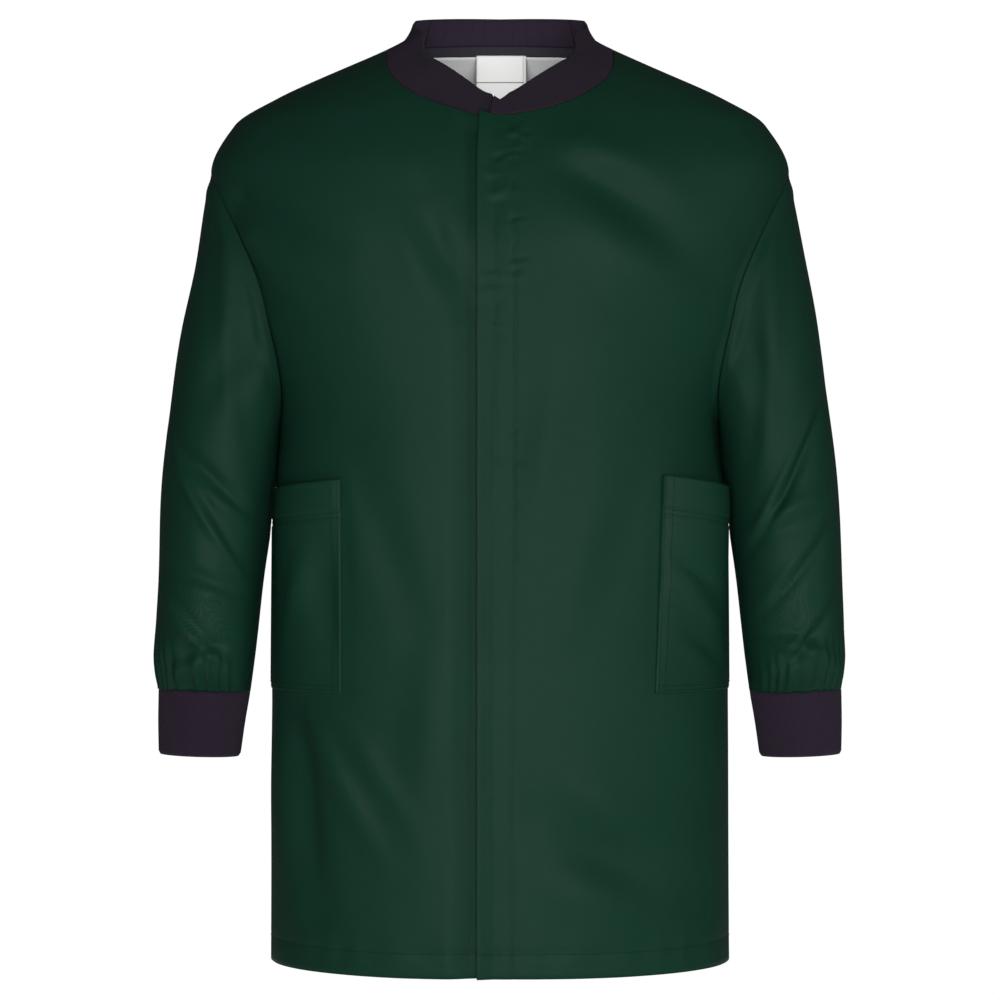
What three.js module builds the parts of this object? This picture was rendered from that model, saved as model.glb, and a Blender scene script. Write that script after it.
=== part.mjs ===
// A child's coat overall: woven body and sleeves, rib-knit neckband and cuffs, a placket closed by
// hook-and-loop patches, and two patch pockets. Millimetres, +Z up, the wearer faces -Y and their
// left side is +X. The origin is midway between the two neck points of the shoulder seams.
import * as THREE from "three";

// ---- Body ------------------------------------------------------------------------------------
const bodyLength = 695; // neck point to hem
const hemHalfWidth = 176;
const waistHalfWidth = 174;
const waistDrop = 360;
const underarmHalfWidth = 168;
const underarmDrop = 285;
const bladeHalfWidth = 196; // a shoulder blade's height down, where the sleeve is set in
const bladeDrop = 200;
const shoulderHalfWidth = 222;
const shoulderDrop = 94;
const shoulderTurn = 18; // how far in from the shoulder point its slope begins to round off
const shoulderTurnDrop = 57;
const frontDepth = 112;
const backDepth = 105;
const roundness = 2.3; // exponent of the level sections: 2 is an ellipse, more is squarer
const cloth = 1.2; // wall of each woven solid
const gap = 0.3; // between pieces that are sewn or lie together

// ---- Neckline and neckband -------------------------------------------------------------------
const neckHalfWidth = 91;
const frontNeckDrop = 58;
const frontNeckDepth = 85;
const backNeckRise = 6;
const backNeckDepth = 52;
const bandThickness = 2.6;
const bandStandPerSlope = 0.66; // the flatter the shoulder, the further above the edge the rib starts
const bandEndLap = 0.03; // how far each end runs past the centre, in neck turns
const neckTapeHeight = 9;
const neckTapeThickness = 0.6;
const tapeGap = 2 * gap; // between the neckband and the tape inside it

// ---- Front opening ---------------------------------------------------------------------------
const frontLap = 17; // how far each front runs past the centre line
const facingReach = 11; // inner edge of each facing, past the centre line
const foldLine = 88; // where each front bends when it is opened
const neckFoldLine = 62; // the same line where it reaches the neckline
const facingThickness = 0.8;
const tapeThickness = 1.0;
const tapeWidth = 20;
const tapeLength = 42;
const tapeCount = 4;
const firstTapeDrop = 94;
const tapePitch = 149;

// ---- Pockets ---------------------------------------------------------------------------------
const pocketInnerEdge = 121;
const pocketTopDrop = 330;
const pocketTopSlant = 8; // lower at the side seam
const pocketHeight = 154;
const pocketEase = 14; // how far the mouth stands off the front
const pocketBulgeShare = 0.82; // share of its width that stands off, the rest lies flat

// ---- Sleeves and cuffs -----------------------------------------------------------------------
const armholeHalfDepth = 58;
const sleeveEndDrop = 490;
const sleeveHalfDepth = 60;
const sleeveForward = 15; // the hand end hangs this far in front of the shoulder
const sleeveReach = 44; // the sleeve's widest point, outside the shoulder point
const sleeveEndWidth = 70;
const pocketClear = 3.4; // the sleeve passes this far outside the body at a pocket's height
const cuffHeight = 49;
const cuffHalfDepth = 27;
const cuffTaper = 4; // half width lost from top to bottom
const cuffThickness = 2.6;

// ---- Labels and lining -----------------------------------------------------------------------
const labelWidth = 37;
const labelHeight = 48;
const labelThickness = 0.6;
const sizeLabelShift = 2;
const liningDrop = 95;
const liningThickness = 0.6;
const liningGap = 1.15;
const liningHalfWidth = 78;

const bottleGreen = 0x0e3a2a;
const navyRib = 0x211c2b;
const paleLining = 0xc9cbcc;
const labelWhite = 0xf4f4f2;
const right = Math.PI / 2;

const mix = (a, b, t) => a + (b - a) * t;
const clamp = (t, low, high) => Math.min(high, Math.max(low, t));
const ease = (t) => {
  const s = clamp(t, 0, 1);
  return s * s * (3 - 2 * s);
};
const power = (value, exponent) => Math.sign(value) * Math.abs(value) ** exponent;

// A smooth curve through stations [at, value], sorted by at, that never overshoots them.
function through(stations) {
  const slopes = stations.slice(1).map(([at, value], i) => {
    return (value - stations[i][1]) / (at - stations[i][0]);
  });
  const tangents = stations.map((_, i) => {
    if (i === 0) return slopes[0];
    if (i === slopes.length) return slopes[i - 1];
    const [a, b] = [slopes[i - 1], slopes[i]];
    return a * b <= 0 ? 0 : (2 * a * b) / (a + b);
  });
  return (at) => {
    const last = stations.length - 2;
    let i = 0;
    while (i < last && at > stations[i + 1][0]) i += 1;
    const [x0, y0] = stations[i];
    const [x1, y1] = stations[i + 1];
    const h = x1 - x0;
    const t = (at - x0) / h;
    if (t < 0) return y0 + tangents[i] * (at - x0);
    if (t > 1) return y1 + tangents[i + 1] * (at - x1);
    const rise = y0 * (1 + 2 * t) * (1 - t) ** 2 + y1 * t * t * (3 - 2 * t);
    return rise + h * t * (1 - t) * (tangents[i] * (1 - t) - tangents[i + 1] * t);
  };
}

// ---- The body's outer surface: level sections with a half width and two depths ----------------
const collarSlope = (shoulderHalfWidth - shoulderTurn - neckHalfWidth) / shoulderTurnDrop;
const bandStand = bandStandPerSlope * collarSlope;
const halfWidth = through([
  [-bodyLength, hemHalfWidth],
  [-waistDrop, waistHalfWidth],
  [-underarmDrop, underarmHalfWidth],
  [-bladeDrop, bladeHalfWidth],
  [-shoulderDrop, shoulderHalfWidth],
  [-shoulderTurnDrop, shoulderHalfWidth - shoulderTurn],
  [0, neckHalfWidth],
  [backNeckRise + 4, neckHalfWidth - collarSlope * (backNeckRise + 4)],
]);
const depthOf = {
  "-1": through([
    [-bodyLength, frontDepth],
    [-240, frontDepth],
    [-160, frontDepth - 1],
    [-100, frontDepth - 10],
    [-frontNeckDrop, frontNeckDepth],
    [-14, frontNeckDepth - 30],
    [0, frontNeckDepth - 45],
    [backNeckRise + 4, frontNeckDepth - 60],
  ]),
  1: through([
    [-bodyLength, backDepth],
    [-180, backDepth],
    [-110, backDepth - 1],
    [-60, backNeckDepth + 43],
    [-30, backNeckDepth + 30],
    [0, backNeckDepth + 8],
    [backNeckRise, backNeckDepth],
    [backNeckRise + 4, backNeckDepth - 6],
  ]),
};

// The point at an angle round the section at height z. The angle is 0 at the wearer's left side,
// 90 degrees at the centre and 180 degrees at their right side. face is -1 in front and 1 behind.
function bodyPoint(angle, z, face) {
  const x = halfWidth(z) * power(Math.cos(angle), 2 / roundness);
  const y = face * depthOf[face](z) * power(Math.sin(angle), 2 / roundness);
  return new THREE.Vector3(x, y, z);
}
const angleAt = (x, z) => Math.acos(power(clamp(x / halfWidth(z), -1, 1), roundness / 2));
const bodyX = (y, z) => {
  const share = clamp(Math.abs(y) / depthOf[y < 0 ? -1 : 1](z), 0, 1);
  return halfWidth(z) * (1 - share ** roundness) ** (1 / roundness);
};

// How far outside the body a point is, as a ratio; its gradient gives the outward normal.
function bodyLevel(x, y, z) {
  const across = Math.abs(x / halfWidth(z)) ** roundness;
  return across + Math.abs(y / depthOf[y < 0 ? -1 : 1](z)) ** roundness;
}
function bodyNormal({ x, y, z }) {
  const e = 0.05;
  return new THREE.Vector3(
    bodyLevel(x + e, y, z) - bodyLevel(x - e, y, z),
    bodyLevel(x, y + e, z) - bodyLevel(x, y - e, z),
    bodyLevel(x, y, z + e) - bodyLevel(x, y, z - e),
  ).normalize();
}

// ---- The neckline, as a height for each angle ------------------------------------------------
const frontNeckZ = (angle) => {
  const q = 1 - Math.abs(1 - angle / right);
  return -frontNeckDrop * (1 - (1 - q ** 3) ** 1.65);
};
const backNeckZ = (angle) => backNeckRise * Math.sin(angle) ** 2;
const neckZ = (angle, face) => (face < 0 ? frontNeckZ(angle) : backNeckZ(angle));

// The angle where the front neckline is x from the centre line.
function neckAngleAt(x) {
  let [low, high] = [0, Math.PI];
  for (let i = 0; i < 40; i += 1) {
    const middle = (low + high) / 2;
    const wider = bodyPoint(middle, frontNeckZ(middle), -1).x > x;
    [low, high] = wider ? [middle, high] : [low, middle];
  }
  return (low + high) / 2;
}

// ---- Sheets ----------------------------------------------------------------------------------
// A sheet of columns by rows whose outer face is surface(u, v) and whose wall lies inside it.
// Faces are turned outward whichever way the surface runs.
function sheet(columns, rows, surface, normal, thickness) {
  const geometry = new THREE.BoxGeometry(1, 1, 1, columns, rows, 1);
  const position = geometry.attributes.position;
  for (let i = 0; i < position.count; i += 1) {
    const [u, v] = [position.getX(i) + 0.5, position.getY(i) + 0.5];
    const point = surface(u, v);
    if (position.getZ(i) < 0) point.addScaledVector(normal(u, v, point), -thickness);
    position.setXYZ(i, point.x, point.y, point.z);
  }
  return facingOut(geometry);
}

function facingOut(geometry) {
  const index = geometry.index.array;
  const corners = [new THREE.Vector3(), new THREE.Vector3(), new THREE.Vector3()];
  let volume = 0;
  for (let i = 0; i < index.length; i += 3) {
    corners.forEach((corner, k) => {
      corner.fromBufferAttribute(geometry.attributes.position, index[i + k]);
    });
    volume += corners[0].dot(corners[1].clone().cross(corners[2]));
  }
  if (volume < 0) {
    for (let i = 0; i < index.length; i += 3) {
      [index[i + 1], index[i + 2]] = [index[i + 2], index[i + 1]];
    }
  }
  geometry.computeVertexNormals();
  return geometry;
}

// The outward normal of a surface that has no formula, measured on the surface itself.
const measuredNormal = (surface, centre) => (u, v, point) => {
  const e = 1e-3;
  const along = (du, dv) => {
    const from = surface(clamp(u - du, 0, 1), clamp(v - dv, 0, 1));
    return surface(clamp(u + du, 0, 1), clamp(v + dv, 0, 1)).sub(from);
  };
  const normal = along(e, 0).cross(along(0, e)).normalize();
  return normal.dot(point.clone().sub(centre(u, v))) < 0 ? normal.negate() : normal;
};
const onBody = (u, v, point) => bodyNormal(point);

// A grid over four edges, each a function that gives [angle, z].
function patch(u, v, { left, right: far, bottom, top }) {
  const [l, r, b, t] = [left(v), far(v), bottom(u), top(u)];
  const [lb, rb, lt, rt] = [left(0), far(0), left(1), far(1)];
  return [0, 1].map((k) => {
    const edges = mix(l[k], r[k], u) + mix(b[k], t[k], v);
    return edges - mix(mix(lb[k], rb[k], u), mix(lt[k], rt[k], u), v);
  });
}

const panelRows = 26;
const frontColumns = 13; // between a front's fold and its side seam
const backColumns = 12; // between the centre back and a side seam
const neckColumns = 6; // those of them that end on the neckline
const underarmShare = 9 / panelRows; // share of the rows that lie below the underarm
// Rows above the underarm close up towards the top, where the body curves most.
const riseAt = (v) => 1 - clamp((1 - v) / (1 - underarmShare), 0, 1) ** 1.4;
const lowZ = (v) => mix(-bodyLength, -underarmDrop, v / underarmShare);
const seamAngle = 0.002; // keeps the side and shoulder seams a gap apart

// The armhole, from the underarm (t = 0) to the shoulder point (t = 1).
function armhole(t, face, inset) {
  const middle = (shoulderDrop + underarmDrop) / 2;
  const half = (underarmDrop - shoulderDrop) / 2 - inset;
  const turn = Math.PI * t;
  const z = -middle - half * Math.cos(turn);
  return [face * (armholeHalfDepth - inset) * Math.sin(turn), z];
}
function armholeAngle(t, face) {
  const [y, z] = armhole(t, face, 0);
  const share = Math.abs(y) / depthOf[face](z);
  return [Math.max(seamAngle, Math.asin(share ** (roundness / 2))), z];
}

// A panel between a line near the centre and the side seam, in [angle, z].
// inner(v, rise) runs up from the hem, and neckShare is the share of the top that is neckline.
function sidePanel(u, v, face, inner, neckShare) {
  if (v <= underarmShare) return [mix(inner(v, 0)[0], seamAngle, u), lowZ(v)];
  const start = inner(1, 1)[0];
  return patch(u, riseAt(v), {
    left: (t) => inner(1, t),
    right: (t) => armholeAngle(t, face),
    bottom: (s) => [mix(inner(1, 0)[0], seamAngle, s), -underarmDrop],
    top: (s) => {
      if (s >= neckShare) {
        return [seamAngle, (-shoulderDrop * (s - neckShare)) / (1 - neckShare)];
      }
      const angle = mix(start, seamAngle, (s / neckShare) ** 1.25);
      return [angle, neckZ(angle, face)];
    },
  });
}

// Where a front bends, as a distance from the centre line: it leans in towards the neckline.
const foldX = (shift) => (rise) => mix(foldLine, neckFoldLine, ease(rise)) + shift;

// The same line in [angle, z], moved sideways by shift.
function foldAt(v, rise, shift) {
  if (v <= underarmShare) return [angleAt(foldLine + shift, lowZ(v)), lowZ(v)];
  const topAngle = neckAngleAt(neckFoldLine + shift);
  if (rise === 1) return [topAngle, frontNeckZ(topAngle)];
  const z = mix(-underarmDrop, frontNeckZ(topAngle), rise);
  return [angleAt(foldX(shift)(rise), z), z];
}

// A strip of a front between two lines near(rise) and far(rise), with its top on the neckline.
function frontStrip(u, v, near, far) {
  const rise = riseAt(v);
  const x = mix(near(rise), far(rise), u);
  if (v <= underarmShare) return [x, lowZ(v)];
  const top = frontNeckZ(neckAngleAt(mix(near(1), far(1), u)));
  return [x, mix(-underarmDrop, top, rise)];
}

// ---- Layers of the placket, each a depth under the outer surface -------------------------------
const upperFacingDepth = cloth + gap;
const loopDepth = upperFacingDepth + facingThickness + gap;
const hookDepth = loopDepth + tapeThickness + gap;
const underFrontDepth = hookDepth + tapeThickness + gap;
const underFacingDepth = underFrontDepth + cloth + gap;
// How deep the underneath front lies, at distance x past the centre towards the other side.
const underDepth = (x) => underFrontDepth * ease((x + 2.4 * frontLap) / (1.55 * frontLap));

// A front's strip as a sheet. side is 1 for the wearer's left, and depth(x) is measured inward.
function frontSheet(side, columns, near, far, depth, thickness) {
  const surface = (u, v) => {
    const [x, z] = frontStrip(u, v, near, far);
    const point = bodyPoint(angleAt(x, z), z, -1);
    point.addScaledVector(bodyNormal(point), -depth(x));
    point.x *= side;
    return point;
  };
  return sheet(columns, panelRows, surface, onBody, thickness);
}

function makeFrontSide(side) {
  const surface = (u, v) => {
    const fold = (t, rise) => foldAt(t, rise, gap / 2);
    const [angle, z] = sidePanel(u, v, -1, fold, neckColumns / frontColumns);
    const point = bodyPoint(angle, z, -1);
    point.x *= side;
    return point;
  };
  return sheet(frontColumns, panelRows, surface, onBody, cloth);
}

function makeBack() {
  const centre = (v, rise) => [right, mix(-underarmDrop, backNeckRise, rise)];
  const surface = (u, v) => {
    const across = 2 * u - 1;
    const [angle, z] = sidePanel(Math.abs(across), v, 1, centre, neckColumns / backColumns);
    const point = bodyPoint(angle, z, 1);
    point.x *= across < 0 ? -1 : 1;
    return point;
  };
  return sheet(2 * backColumns, panelRows, surface, onBody, cloth);
}

// ---- Neckband --------------------------------------------------------------------------------
// A turn round the neck is 0 at the centre front, 1 at the neck point and 2 at the centre back.
const bandRun = through([[0, 0], [0.12, -29], [0.3, -32], [0.5, -29], [1, -26], [1.5, -13], [2, 0]]);
const bandLean = through([[0, 7], [0.12, 9], [0.3, 12], [1, 8], [1.5, -4], [2, -7]]);
const bandRise = through([[0, 12], [0.12, 18], [0.3, 21], [0.5, 18], [1, 20], [1.5, 27], [2, 27]]);
function bandPoint(turn, height) {
  const t = Math.abs(turn);
  const face = t < 1 ? -1 : 1;
  const angle = Math.max(seamAngle, Math.abs(1 - t) * right);
  const point = bodyPoint(angle, neckZ(angle, face), face);
  const lift = new THREE.Vector3(bandRun(t), bandLean(t), bandRise(t));
  point.addScaledVector(lift, height + bandStand / lift.length());
  if (turn < 0) point.x *= -1;
  return point;
}
const foldTurn = 1 - neckAngleAt(neckFoldLine) / right;

// A length of neckband from one turn to another, pressed in by depth(turn).
function makeBand(side, from, to, columns, depth) {
  const flat = (u, v) => {
    const turn = mix(from, to, u);
    const point = turn > 2 ? bandPoint(4 - turn, v) : bandPoint(turn, v);
    if (turn > 2) point.x *= -1;
    point.x *= side;
    return point;
  };
  const centre = (u, v) => new THREE.Vector3(0, -17, flat(u, v).z - 20);
  const normal = measuredNormal(flat, centre);
  const surface = (u, v) => {
    const point = flat(u, v);
    return point.addScaledVector(normal(u, v, point), -depth(mix(from, to, u)));
  };
  return sheet(columns, 3, surface, (u, v) => normal(u, v, flat(u, v)), bandThickness);
}

function makeNeckTape() {
  const surface = (u, v) => {
    const turn = mix(1.3, 2.7, u);
    const height = v * (neckTapeHeight / 28);
    const point = turn > 2 ? bandPoint(4 - turn, height) : bandPoint(turn, height);
    if (turn > 2) point.x *= -1;
    return point;
  };
  const centre = (u, v) => new THREE.Vector3(0, -17, surface(u, v).z - 20);
  const normal = measuredNormal(surface, centre);
  const pressed = (u, v) => {
    const point = surface(u, v);
    return point.addScaledVector(normal(u, v, point), -(bandThickness + tapeGap));
  };
  return sheet(14, 1, pressed, (u, v) => normal(u, v, surface(u, v)), neckTapeThickness);
}

function makeLining() {
  const surface = (u, v) => {
    const across = 2 * u - 1;
    const x = across * liningHalfWidth;
    const top = -3 - 6 * across * across;
    const drop = 6 + (liningDrop - 6) * Math.sqrt(1 - across * across);
    const z = top - drop * (1 - v);
    const point = bodyPoint(angleAt(x, z), z, 1);
    return point.addScaledVector(bodyNormal(point), -(cloth + liningGap));
  };
  return sheet(14, 8, surface, onBody, liningThickness);
}

function makeLabel(width, shift, layer) {
  const geometry = new THREE.BoxGeometry(width, labelThickness, labelHeight);
  const y = backNeckDepth - 5 + layer * (labelThickness + gap);
  return geometry.translate(shift, y, backNeckRise - 0.8 - labelHeight / 2);
}

// ---- Pockets ---------------------------------------------------------------------------------
function makePocket(side) {
  const surface = (u, v) => {
    const top = -pocketTopDrop - pocketTopSlant * u;
    const z = mix(-pocketTopDrop - pocketHeight, top, v);
    const inner = angleAt(pocketInnerEdge, z);
    const point = bodyPoint(mix(inner, seamAngle * 4, u), z, -1);
    const hang = Math.sin(Math.PI * clamp(u / pocketBulgeShare, 0, 1)) ** 0.8;
    const bulge = pocketEase * hang * Math.sin(right * Math.min(1, v * 1.6)) * mix(0.6, 1, v);
    point.addScaledVector(bodyNormal(point), gap + cloth + bulge);
    point.y = Math.min(point.y, -0.5);
    point.x *= side;
    return point;
  };
  const centre = (u, v) => new THREE.Vector3(0, 0, surface(u, v).z);
  return sheet(10, 8, surface, measuredNormal(surface, centre), cloth);
}

// ---- Sleeves and cuffs -----------------------------------------------------------------------
const sleeveEndX = shoulderHalfWidth + sleeveReach - 3;
const outerX = through([
  [-sleeveEndDrop, sleeveEndX],
  [-sleeveEndDrop + 30, shoulderHalfWidth + sleeveReach],
  [-underarmDrop - 113, shoulderHalfWidth + sleeveReach - 3],
  [-underarmDrop - 21, shoulderHalfWidth + sleeveReach - 10],
  [-underarmDrop + 72, shoulderHalfWidth + sleeveReach - 22],
  [-shoulderDrop - 58, shoulderHalfWidth + 11],
  [-shoulderDrop, shoulderHalfWidth],
]);
const innerX = through([
  [-sleeveEndDrop, sleeveEndX - sleeveEndWidth],
  [-sleeveEndDrop + 30, sleeveEndX - sleeveEndWidth - 4],
  [-sleeveEndDrop + 77, sleeveEndX - sleeveEndWidth - 10.5],
  [-waistDrop, waistHalfWidth + 2.6],
  [-underarmDrop, underarmHalfWidth + 1],
]);
const sleeveDepth = through([
  [0, armholeHalfDepth],
  [0.18, sleeveHalfDepth + 1],
  [0.45, sleeveHalfDepth - 2],
  [0.75, sleeveHalfDepth - 9],
  [0.93, sleeveHalfDepth - 15],
  [1, cuffHalfDepth + 2],
]);

// A point of the sleeve: s runs from the armhole to the cuff and turn goes round from the top of
// the armhole, through the front, to the underarm and back.
function sleevePoint(s, turn) {
  const outerZ = mix(-shoulderDrop - 2 * gap, -sleeveEndDrop + 2, s);
  const innerZ = mix(-underarmDrop + 2 * gap, -sleeveEndDrop, s);
  const outer = new THREE.Vector3(outerX(outerZ), 0, outerZ);
  const inner = new THREE.Vector3(innerX(innerZ), 0, innerZ);
  const point = outer.clone().lerp(inner, (1 - Math.cos(turn)) / 2);
  const forward = sleeveForward * ease(s * 1.1);
  point.y = -Math.sin(turn) * sleeveDepth(s) - forward;
  const inSet = (1 - clamp(s / 0.3, 0, 1)) ** 2;
  if (inSet > 0) {
    const share = 1 - Math.abs(turn) / Math.PI;
    const [y, z] = armhole(share, turn < 0 ? 1 : -1, 2 * gap);
    const edge = new THREE.Vector3(bodyX(y, z) + gap, y, z);
    const start = new THREE.Vector3(0, 0, 0).lerpVectors(
      new THREE.Vector3(outerX(-shoulderDrop), 0, -shoulderDrop - 2 * gap),
      new THREE.Vector3(innerX(-underarmDrop), 0, -underarmDrop + 2 * gap),
      (1 - Math.cos(turn)) / 2,
    );
    start.y = -Math.sin(turn) * sleeveDepth(0);
    point.addScaledVector(edge.sub(start), inSet);
  }
  if (point.z > -waistDrop - pocketHeight) {
    const clear = gap + pocketClear * ease((-point.z - underarmDrop) / 35);
    point.x = Math.max(point.x, bodyX(point.y, point.z) + clear);
  }
  return point;
}

// A point of the cuff: s runs down from the sleeve's end.
function cuffPoint(s, turn) {
  const top = -sleeveEndDrop - gap - 0.2;
  const slope = (1 + Math.cos(turn)) * 1;
  const half = sleeveEndWidth / 2 - cuffTaper * s;
  const middle = sleeveEndX - sleeveEndWidth / 2 + cuffTaper * s;
  const x = middle + half * Math.cos(turn);
  const y = -sleeveForward - (cuffHalfDepth - cuffTaper * s * 0.5) * Math.sin(turn);
  return new THREE.Vector3(x, y, top - cuffHeight * s + slope);
}

// A tube with a wall, from a turned closed profile: rings(s, turn) is its outer face.
function tube(side, sides, rows, rings, thickness) {
  const profile = [];
  for (let i = 0; i <= rows; i += 1) profile.push(new THREE.Vector2(2, -i));
  for (let i = rows; i >= 0; i -= 1) profile.push(new THREE.Vector2(1, -i));
  profile.push(profile[0].clone());
  const geometry = new THREE.LatheGeometry(profile, sides);
  const position = geometry.attributes.position;
  const surface = (u, v) => rings(v, (2 * u - 1) * Math.PI);
  const centre = (u, v) => rings(v, 0).add(rings(v, Math.PI)).multiplyScalar(0.5);
  const normal = measuredNormal(surface, centre);
  for (let i = 0; i < position.count; i += 1) {
    const column = Math.floor(i / profile.length) % sides;
    const corner = profile[i % profile.length];
    const [u, v] = [column / sides, -corner.y / rows];
    const point = surface(u, v);
    if (corner.x < 2) point.addScaledVector(roundNormal(normal, surface, u, v), -thickness);
    position.setXYZ(i, side * point.x, point.y, point.z);
  }
  return facingOut(geometry);
}

// On a tube the first and last columns are the same place, so the normal there is the mean.
function roundNormal(normal, surface, u, v) {
  if (u > 0 && u < 1) return normal(u, v, surface(u, v));
  const ends = normal(0, v, surface(0, v)).add(normal(1, v, surface(1, v)));
  return ends.normalize();
}

// ---- Assembly --------------------------------------------------------------------------------
const materials = {
  twill: new THREE.MeshStandardMaterial({ color: bottleGreen, roughness: 0.62, metalness: 0 }),
  rib: new THREE.MeshStandardMaterial({ color: navyRib, roughness: 0.9, metalness: 0 }),
  lining: new THREE.MeshStandardMaterial({ color: paleLining, roughness: 0.8, metalness: 0 }),
  label: new THREE.MeshStandardMaterial({ color: labelWhite, roughness: 0.6, metalness: 0 }),
  tape: new THREE.MeshStandardMaterial({ color: bottleGreen, roughness: 0.95, metalness: 0 }),
};
const jacket = new THREE.Group();
function add(name, geometry, material) {
  const mesh = new THREE.Mesh(geometry, material);
  mesh.name = name;
  jacket.add(mesh);
}

// One hook or loop patch, number i down the front.
function makeFastener(i, depth) {
  const middle = -firstTapeDrop - i * tapePitch;
  const surface = (u, v) => {
    const z = middle + (v - 0.5) * tapeLength;
    const point = bodyPoint(angleAt((u - 0.5) * tapeWidth, z), z, -1);
    return point.addScaledVector(bodyNormal(point), -depth);
  };
  return sheet(4, 4, surface, onBody, tapeThickness);
}

add("back_panel", makeBack(), materials.twill);
const edges = { left: 1, right: -1 };
const outerLayer = { left: () => 0, right: underDepth };
const facingLayer = {
  left: () => upperFacingDepth,
  right: (x) => underDepth(x) + cloth + gap,
};
for (const [name, side] of Object.entries(edges)) {
  add(`${name}_front_side`, makeFrontSide(side), materials.twill);
  const lap = () => -frontLap;
  const depth = (x) => outerLayer[name](-x);
  const flap = frontSheet(side, 9, lap, foldX(-gap / 2), depth, cloth);
  add(`${name}_front_flap`, flap, materials.twill);
  const inner = () => 1 - frontLap;
  const facingDepth = (x) => facingLayer[name](-x);
  const reach = () => facingReach;
  const facing = frontSheet(side, 4, inner, reach, facingDepth, facingThickness);
  add(`${name}_front_facing`, facing, materials.twill);
  add(`${name}_pocket`, makePocket(side), materials.twill);
  add(`${name}_sleeve`, tube(side, 24, 14, sleevePoint, cloth), materials.twill);
  add(`${name}_cuff`, tube(side, 24, 2, cuffPoint, cuffThickness), materials.rib);
  const pressed = name === "left" ? 0 : bandThickness + gap;
  const bandDepth = (turn) => pressed * (1 - ease((turn - 0.04) / 0.12));
  const band = makeBand(side, -bandEndLap, foldTurn - 0.002, 9, bandDepth);
  add(`neckband_${name}_end`, band, materials.rib);
}
const backBand = makeBand(1, foldTurn + 0.002, 4 - foldTurn - 0.002, 30, () => 0);
add("neckband_back", backBand, materials.rib);
add("neck_tape", makeNeckTape(), materials.rib);
add("back_neck_lining", makeLining(), materials.lining);
for (let i = 0; i < tapeCount; i += 1) {
  add(`loop_patch_${i + 1}`, makeFastener(i, loopDepth), materials.tape);
  add(`hook_patch_${i + 1}`, makeFastener(i, hookDepth), materials.tape);
}
add("neck_label", makeLabel(labelWidth, 0, 0), materials.label);
add("size_label", makeLabel(labelWidth, sizeLabelShift, 1), materials.label);

export default jacket;
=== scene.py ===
"""A child's coat overall: satin twill body and sleeves, rib-knit neckband and cuffs.

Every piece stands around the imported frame, in metres, with +Z up, the wearer facing -Y and their
left side on +X. The cloth surfaces follow the same body form as the frame, with soft folds on top.
"""
import logging
import math
from dataclasses import dataclass, field
from enum import Enum
from typing import Callable

import bmesh
import bpy
import numpy as np
from mathutils import Matrix, Vector


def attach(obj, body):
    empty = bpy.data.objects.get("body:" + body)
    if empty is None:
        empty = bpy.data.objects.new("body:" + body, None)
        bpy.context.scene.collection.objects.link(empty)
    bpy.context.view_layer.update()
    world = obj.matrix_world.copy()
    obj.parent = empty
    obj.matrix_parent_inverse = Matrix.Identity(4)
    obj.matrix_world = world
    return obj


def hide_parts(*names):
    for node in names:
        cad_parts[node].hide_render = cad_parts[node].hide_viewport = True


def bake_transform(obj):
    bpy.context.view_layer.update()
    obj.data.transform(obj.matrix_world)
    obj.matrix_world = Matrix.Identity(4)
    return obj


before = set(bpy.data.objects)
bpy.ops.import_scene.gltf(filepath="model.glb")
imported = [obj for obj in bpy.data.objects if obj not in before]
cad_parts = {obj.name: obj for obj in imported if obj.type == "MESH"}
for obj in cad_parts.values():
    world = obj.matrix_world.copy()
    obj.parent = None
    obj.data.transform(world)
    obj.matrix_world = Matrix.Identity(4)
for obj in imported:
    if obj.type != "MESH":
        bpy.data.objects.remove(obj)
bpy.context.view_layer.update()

LOG = logging.getLogger("overall")
MM = 0.001
RIGHT_ANGLE = math.pi / 2
Array = np.ndarray
Triple = tuple[float, float, float]
Surface = Callable[[Array, Array], Array]


class Side(Enum):
    """The wearer's left and right, with the sign of X on each."""

    LEFT = 1
    RIGHT = -1

    @property
    def word(self) -> str:
        """The side's name in the frame's node and body names."""
        return self.name.lower()


def mix(a: Array, b: Array, t: Array) -> Array:
    """A point a share t of the way from a to b."""
    return a + (b - a) * t


def ease(t: Array) -> Array:
    """A smooth step from 0 to 1."""
    s = np.clip(t, 0.0, 1.0)
    return s * s * (3 - 2 * s)


def hump(t: Array) -> Array:
    """A smooth rise and fall, 0 at t = 0 and 1, and 1 at the middle."""
    return np.sin(math.pi * np.clip(t, 0.0, 1.0)) ** 2


def bell(off: Array, width: float) -> Array:
    """A bump that is 1 where off is 0 and dies away within a few widths."""
    return np.exp(-((off / width) ** 2))


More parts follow.
